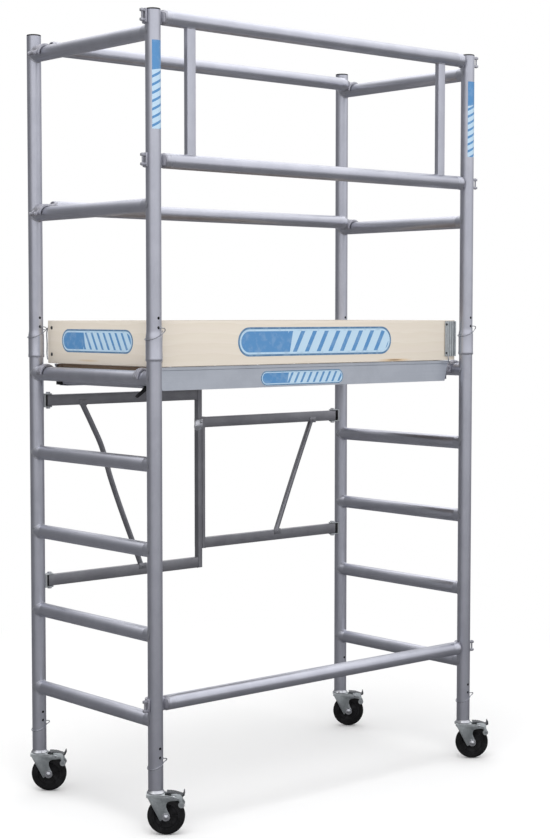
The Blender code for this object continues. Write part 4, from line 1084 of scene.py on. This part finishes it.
def makeDeck():
    under, top, wide, end = platform["under"], platform["top"], platform["halfWide"], platform["end"]
    strip, edge = platform["hatchHalf"] + 0.0015, platform["hatchEdge"] + 0.0025
    outline = [(end, wide), (-end, wide), (-end, strip), (edge, strip), (edge, -strip), (-end, -strip), (-end, -wide),
               (end, -wide)]
    deck = makePlate("deckPanel", outline, under, top, upright(0, 0, 0), 0.0009)
    cutAway(deck, makeBox("rebate", at(edge - 0.01, -0.19, top - 0.003), at(-0.005, 0.19, top + 0.01)))
    finishPiece(deck, "filmPly", stands=("deck_panel",))
    screws = []
    for rowX, rowY, radius in (((0.01, 0.22, 0.43, 0.64), 0.262, 0.005),
                               ((-0.62, -0.43, -0.24, -0.07), 0.274, 0.0042)):
        screws += [domeHead("screw", upright(x, y, top), radius, 0.0012) for x in rowX for y in (-rowY, rowY)]
    finishPiece(joined("deckScrews", screws), "brightZinc")


def knuckleProfile(bore, half):
    return [(bore, -half), (0.0056, -half), (0.006, -half + 0.0006), (0.006, half - 0.0006), (0.0056, half),
            (bore, half)]


def makeHatch():
    under, top, half = platform["under"], platform["top"], platform["hatchHalf"]
    hatch = makeBox("hatchPanel", at(-platform["end"], -half, under), at(platform["hatchEdge"], half, top), 0.0009)
    pull = {"x": -0.6, "halfLong": 0.018, "halfWide": 0.045}
    cutter = makeBox("pull", at(pull["x"] - pull["halfLong"], -pull["halfWide"], under - 0.01),
                     at(pull["x"] + pull["halfLong"], pull["halfWide"], top + 0.01), 0.012, 5)
    cutAway(hatch, cutter)
    finishPiece(hatch, "filmPly", "hatch", ("hatch",))
    axisX, axisZ = platform["hinge"]
    parts = []
    knuckle = knuckleProfile(0.0031, 0.02)
    for y in (-0.14, 0.14):
        parts.append(makeTurned("knuckle", knuckle, axesAt(at(axisX, y, axisZ), (1, 0, 0), (0, 0, 1)), 24))
        parts.append(makeBox("leaf", at(axisX - 0.04, y - 0.02, top), at(axisX - 0.001, y + 0.02, top + 0.0022),
                             0.0007))
        parts.append(makeBox("leafTurn", at(axisX - 0.006, y - 0.0195, top + 0.0005),
                             at(axisX - 0.0038, y + 0.0195, axisZ), 0.0006))
        for dx, dy in ((-0.03, -0.012), (-0.03, 0.012), (-0.016, 0.0)):
            parts.append(domeHead("screw", upright(axisX + dx, y + dy, top + 0.0022), 0.0036, 0.0012))
    finishPiece(joined("hatchLeaves", parts), "galvanised", "hatch")
    parts = []
    rod = [(0, -0.186), (0.0024, -0.186), (0.0027, -0.1855), (0.0027, 0.1855), (0.0024, 0.186), (0, 0.186)]
    parts.append(makeTurned("hingeRod", rod, axesAt(at(axisX, 0, axisZ), (1, 0, 0), (0, 0, 1)), 16))
    knuckle = knuckleProfile(0.0024, 0.0095)
    for y in (-0.17, 0.0, 0.17):
        parts.append(makeTurned("knuckle", knuckle, axesAt(at(axisX, y, axisZ), (1, 0, 0), (0, 0, 1)), 24))
        parts.append(makeBox("leaf", at(axisX + 0.0015, y - 0.0095, top - 0.0027),
                             at(axisX + 0.04, y + 0.0095, top - 0.0002), 0.0007))
        parts.append(makeBox("riser", at(axisX + 0.0018, y - 0.0092, top - 0.002),
                             at(axisX + 0.0045, y + 0.0092, axisZ), 0.0006))
        for dx in (0.018, 0.031):
            parts.append(domeHead("screw", upright(axisX + dx, y, top - 0.0002), 0.0036, 0.001))
    finishPiece(joined("hatchHinge", parts), "galvanised", stands=("hatch_hinge",))


makeSideBeam("platformFrontBeam", "platform_front_beam", -1)
makeSideBeam("platformRearBeam", "platform_rear_beam", 1)
plugs = [makeBox("plug", at(x, 0.262, 1.4572), at(x + 0.022, 0.2965, 1.478), 0.0015)
         for x in (-0.69, 0.668)]
finishPiece(joined("beamPlugs", plugs), "blackPlastic")
for side, sign in (("left", -1), ("right", 1)):
    makeEndBeam(side, sign)
    makeWindLock(side, sign)
middleBeam = makeBoxTube("platformMiddleBeam", at(-0.06, -platform["halfWide"], 1.47),
                         at(-0.03, platform["halfWide"], 1.512), 1, 0.003, 0.0025)
finishPiece(middleBeam, "tubeY", stands=("platform_middle_beam",))
makeDeck()
makeHatch()
print("platform made")


# Toe boards, their corner brackets and bolts

board = {"low": 1.5335, "high": 1.6835, "thick": 0.025, "face": 0.3165, "endFace": 0.7115, "rounding": 0.0022}
boardReach = board["endFace"] - board["thick"] - 0.001
boardInner = board["face"] - board["thick"]
for label, side in (("front", -1), ("rear", 1)):
    y0, y1 = sorted((side * boardInner, side * board["face"]))
    plank = makeBox(f"toeBoard_{label}", at(-boardReach, y0, board["low"]), at(boardReach, y1, board["high"]),
                    board["rounding"], 3)
    finishPiece(plank, "spruceX", stands=(f"toe_board_{label}",))
for label, side in (("left", -1), ("right", 1)):
    x0, x1 = sorted((side * (board["endFace"] - board["thick"]), side * board["endFace"]))
    plank = makeBox(f"toeBoard_{label}", at(x0, -board["face"] + 0.002, board["low"]),
                    at(x1, board["face"] - 0.002, board["high"]), board["rounding"], 3)
    finishPiece(plank, "spruceY", stands=(f"toe_board_{label}",))


def makeCornerBracket():
    # sheet steel across the end of a long board, curled round the side of the post; drawn at the front right post
    low, high = 1.5475, 1.68
    thick = 0.0022
    path = [(0.653, -0.3187), (0.668, -0.3187), (0.6705, -0.3215), (0.674, -0.3187), (0.68, -0.3187),
            (0.6825, -0.3215), (0.686, -0.3187), (0.692, -0.3187), (0.6945, -0.3215), (0.698, -0.319),
            (0.706, -0.319), (0.71, -0.3225)]
    inner = []
    for number, (x, y) in enumerate(path):
        before = Vector(path[max(number - 1, 0)])
        after = Vector(path[min(number + 1, len(path) - 1)])
        way = (after - before).normalized()
        inner.append((x + way.y * thick, y - way.x * thick))
    outline = path + list(reversed(inner))
    return makePlate("cornerBracket", outline, low, high, upright(0, 0, 0), 0.0005, 1)


bracketMaster = makeCornerBracket()
hookRoute = [(0.668, -0.3205, 1.556), (0.668, -0.3235, 1.54), (0.672, -0.3245, 1.524), (0.684, -0.3245, 1.517),
             (0.696, -0.324, 1.522), (0.7, -0.3225, 1.534)]  # the bent wire under the bracket
loopRoute = [(0.7005, -0.33, 1.546), (0.7005, -0.3345, 1.552), (0.701, -0.335, 1.6), (0.7005, -0.3345, 1.65),
             (0.7, -0.329, 1.657), (0.695, -0.324, 1.65), (0.6945, -0.3235, 1.6), (0.695, -0.324, 1.552),
             (0.7005, -0.33, 1.546)]  # the rolled loop at a left post, mirrored to its place
hookMaster = makeWire("bracketHook", [at(*point) for point in hookRoute], 0.0019)
loopMaster = makeWire("cornerLoop", [at(*point) for point in loopRoute], 0.0021)
bracketParts, bracketHooks, bracketBolts = [], [], []
for alongX in (False, True):
    for alongY in (False, True):
        signX, signY = (-1 if alongX else 1), (1 if alongY else -1)
        if alongX:
            bracketHooks.append(copyPiece(loopMaster, "loop", mirrored(alongX, alongY)))
        else:
            bracketParts.append(copyPiece(bracketMaster, "bracket", mirrored(alongX, alongY)))
            bracketHooks.append(copyPiece(hookMaster, "hook", mirrored(alongX, alongY)))
            for x, z in ((0.66, 1.56), (0.66, 1.668)):
                face = axesAt(at(signX * x, signY * 0.3209, z), (1, 0, 0), (0, 0, 1 if signY < 0 else -1))
                bracketBolts.append(domeHead("bracketBolt", face, 0.0048, 0.0026))
        for z in (1.565, 1.658):  # coach bolts through the end boards
            face = axesAt(at(signX * board["endFace"], signY * 0.289, z), (0, 1, 0), (0, 0, 1 if signX > 0 else -1))
            bracketBolts.append(domeHead("coachBolt", face, 0.0062, 0.003))
discard(bracketMaster, hookMaster, loopMaster)
finishPiece(joined("toeBrackets", bracketParts), "galvanised")
finishPiece(joined("toeBracketHooks", bracketHooks), "springWire")
finishPiece(joined("toeBolts", bracketBolts), "darkSteel")
print("toe boards made")


# Spring clips that lock the post joints and the castor stems

def clipRoute(x, y, pinHeight, ring):
    # the pin enters the post's front, and the wire goes down round it: turn in degrees, radius, height below the pin
    turns = [(-90, 0.016, 0), (-90, 0.024, 0), (-88, 0.033, 0), (-72, 0.0365, 0.001), (-52, 0.037, 0.005),
             (-42, 0.035, 0.011), (-52, ring + 0.0012, 0.0165), (-75, ring, 0.023), (-100, ring, 0.029),
             (-130, ring, 0.035), (-165, ring, 0.039), (-200, ring, 0.039), (-235, ring, 0.035),
             (-270, ring, 0.029), (-305, ring, 0.022), (-335, ring + 0.0005, 0.015), (-352, ring + 0.003, 0.011),
             (-362, ring + 0.0065, 0.011)]
    return [at(x, y, pinHeight - below) + Matrix.Rotation(math.radians(turn), 3, "Z") @ Vector((reach, 0, 0))
            for turn, reach, below in turns]


# dark discs just inside each lock pin hole, in the rubber finish: painted shade for the dark inside of the holes
paintedHoleShades = []
for corner in corners:
    post = postAxis[corner] - middle
    for label, heights, ring in (("Joint", upperPost["holes"], 0.0298), ("Stem", lowerPost["holes"], 0.027)):
        clip = makeWire("clip", clipRoute(post.x, post.y, heights[0], ring), 0.0016)
        clip.name = f"clip{label}_{corner}"
        finishPiece(clip, "springWire", smooth=60)
        for height in heights:
            front = at(post.x, post.y - tubeRadius + 0.001, height)
            back = front + Vector((0, 0.003, 0))
            paintedHoleShades.append(makeTube("paintedHoleShade", front, back, pinRadius - 0.0001, 0.0046))
finishPiece(joined("paintedHoleShades", paintedHoleShades), "tyreRubber")


# Plain printed bands: no words on them

def makeBand(name, place, length, height, thick=0.0004):
    # a rounded band with a darker rim; local x runs along it and local z out of it
    half = length / 2 - height / 2
    for label, grow, low, high in (("Rim", 0.0, 0.0, thick), ("Pale", -0.07 * height, thick * 0.6, thick * 1.3),
                                   ("Face", -0.14 * height, thick * 0.9, thick * 1.6)):
        radius = height / 2 + grow
        outline = arcPoints(radius, -90, 90, 16, (half, 0)) + arcPoints(radius, 90, 270, 16, (-half, 0))
        band = makePlate("band", outline, low, high, place)
        band.name = f"{name}{label}"
        finishPiece(band, {"Rim": "labelEdge", "Pale": "labelPale", "Face": name}[label])


bands = {"boardFront": dict(axis="X", centre=(0.0025, -board["face"], 1.6115), size=(0.731, 0.1), bars=13),
         "boardLeft": dict(axis="Y", centre=(-board["endFace"], 0.0165, 1.614), size=(0.417, 0.08), bars=12),
         "beamFront": dict(axis="X", centre=(-0.052, -platform["web"], 1.485), size=(0.388, 0.05), bars=13)}
for name, band in bands.items():
    x, y, z = band["centre"]
    length, height = band["size"]
    if band["axis"] == "X":
        place = axesAt(at(x, y, z), (1, 0, 0), (0, 0, 1))
        start = at(x - length / 2, 0, 0).x
    else:
        place = axesAt(at(x, y, z), (0, -1, 0), (0, 0, 1))
        start = at(0, y + length / 2, 0).y
        length = -length
    makeLabelFinish(f"band_{name}", band["axis"], start, length, band["bars"])
    makeBand(f"band_{name}", place, abs(length), height)


postStrip = {"span": (-134, -50), "low": 2.297, "high": 2.578, "bars": 11}  # stuck round the front of a post
makeLabelFinish("band_post", "Z", 2.58, -0.285, postStrip["bars"])
for corner in ("front_left", "front_right"):
    first, last = postStrip["span"]
    outline = arcPoints(tubeRadius + 0.0003, first, last, 14) + arcPoints(tubeRadius - 0.0002, last, first, 14)
    place = Matrix.Translation((postAxis[corner].x, postAxis[corner].y, 0))
    strip = makePlate(f"band_{corner}", outline, postStrip["low"], postStrip["high"], place)
    finishPiece(strip, "band_post")
print("clips and bands made")


# Stage, lights and camera

stage = {"size": 60.0, "floor": (0.965, 0.965, 0.965), "floorMottle": (0.95, 0.95, 0.952),
         "floorGlossy": (0.16, 0.16, 0.17), "fade": (1.3, 3.2)}


def makeFloor():
    clearSelection()
    bpy.ops.mesh.primitive_plane_add(size=stage["size"], location=(0, 0, -0.0005))
    floor = nameNew("floor")
    tree, shader, place = startFinish("paleFloor")
    shiny = addNode(tree, "LightPath").outputs["Is Glossy Ray"]
    mottle = useGroup(tree, "smudge", place, Size=1.5, Cover=0.3)
    pale = blendColour(tree, spread(tree, mottle, 0.0, 0.5), stage["floor"], stage["floorMottle"])
    endFinish(tree, shader, blendColour(tree, shiny, pale, stage["floorGlossy"]), 0.9)
    shader.inputs["Specular IOR Level"].default_value = 0.1
    away = addNode(tree, "VectorMath", {0: place}, operation="LENGTH").outputs["Value"]
    fade = spread(tree, away, start=stage["fade"][0], end=stage["fade"][1], ease="SMOOTHSTEP")
    amount = calc(tree, "MULTIPLY", fade, calc(tree, "SUBTRACT", 1.0, shiny))
    white = addNode(tree, "Emission", {"Color": (1.0, 1.0, 1.0, 1.0), "Strength": 1.0})
    mixed = addNode(tree, "MixShader", {0: amount, 1: shader.outputs[0], 2: white.outputs[0]})
    tree.links.new(mixed.outputs[0], tree.nodes["Material Output"].inputs["Surface"])
    floor.data.materials.append(finishes["paleFloor"])


def makeWorld():
    # plain white to the eye and even on matt things; in the metal it is bright in front and above, grey at the sides
    glow = {"way": (-0.3, -0.95, 0.1), "side": (0.42, 0.425, 0.45), "front": (0.98, 0.985, 1.03),
            "above": (1.75, 1.75, 1.78), "shade": (0.14, 0.142, 0.155), "shadeWay": (-0.62, 0.78, 0.0)}
    world = bpy.data.worlds.new("studio")
    bpy.context.scene.world = world
    world.use_nodes = True
    tree = world.node_tree
    tree.nodes.clear()
    way = addNode(tree, "TexCoord").outputs["Generated"]
    ahead, behind = (addNode(tree, "VectorMath", {0: way, 1: glow[key]}, operation="DOT_PRODUCT").outputs["Value"]
                     for key in ("way", "shadeWay"))
    tone = blendColour(tree, spread(tree, axisOf(tree, way, "Z"), start=0.15, end=0.75), glow["side"], glow["above"])
    front = spread(tree, ahead, start=-0.35, end=0.8, ease="SMOOTHSTEP")
    tone = blendColour(tree, front, tone, glow["front"])
    tone = blendColour(tree, spread(tree, behind, 0.0, 0.85, 0.3, 0.9, "SMOOTHSTEP"), tone, glow["shade"])
    shiny = addNode(tree, "LightPath").outputs["Is Glossy Ray"]
    shine = addNode(tree, "Background", {"Color": blendColour(tree, shiny, (1.0, 1.0, 1.0), tone), "Strength": 1.0})
    addNode(tree, "OutputWorld", {"Surface": shine.outputs[0]})


def makeLight(name, place, target, size, power):
    bpy.ops.object.light_add(type="AREA", location=place)
    light = bpy.context.object
    light.name = name
    light.data.shape = "SQUARE"
    light.data.size = size
    light.data.energy = power
    light.rotation_euler = (Vector(target) - Vector(place)).to_track_quat("-Z", "Y").to_euler()
    light.visible_glossy = False  # the world alone shows in the metal


def placeCamera():
    view = {"place": (-4.0609, -4.75, 1.7046), "down": 3.527, "roll": -0.0255, "heading": -41.074, "lens": 73.03}
    bpy.ops.object.camera_add(location=at(*view["place"]))
    camera = bpy.context.object
    camera.rotation_euler = [math.radians(turn) for turn in (90 - view["down"], view["roll"], view["heading"])]
    camera.data.sensor_width = 36
    camera.data.lens = view["lens"]
    camera.data.clip_end = 200
    bpy.context.scene.camera = camera


makeFloor()
makeWorld()
makeLight("overhead", (-1.5, -1.2, 6.0), (0, 0, 0.8), 2.6, 75)
makeLight("frontKey", (-3.0, -6.0, 4.6), (0, 0, 1.4), 2.4, 45)
placeCamera()
bpy.context.scene.view_settings.view_transform = "Standard"
bpy.context.scene.view_settings.look = "None"
print("stage, lights and camera ready")
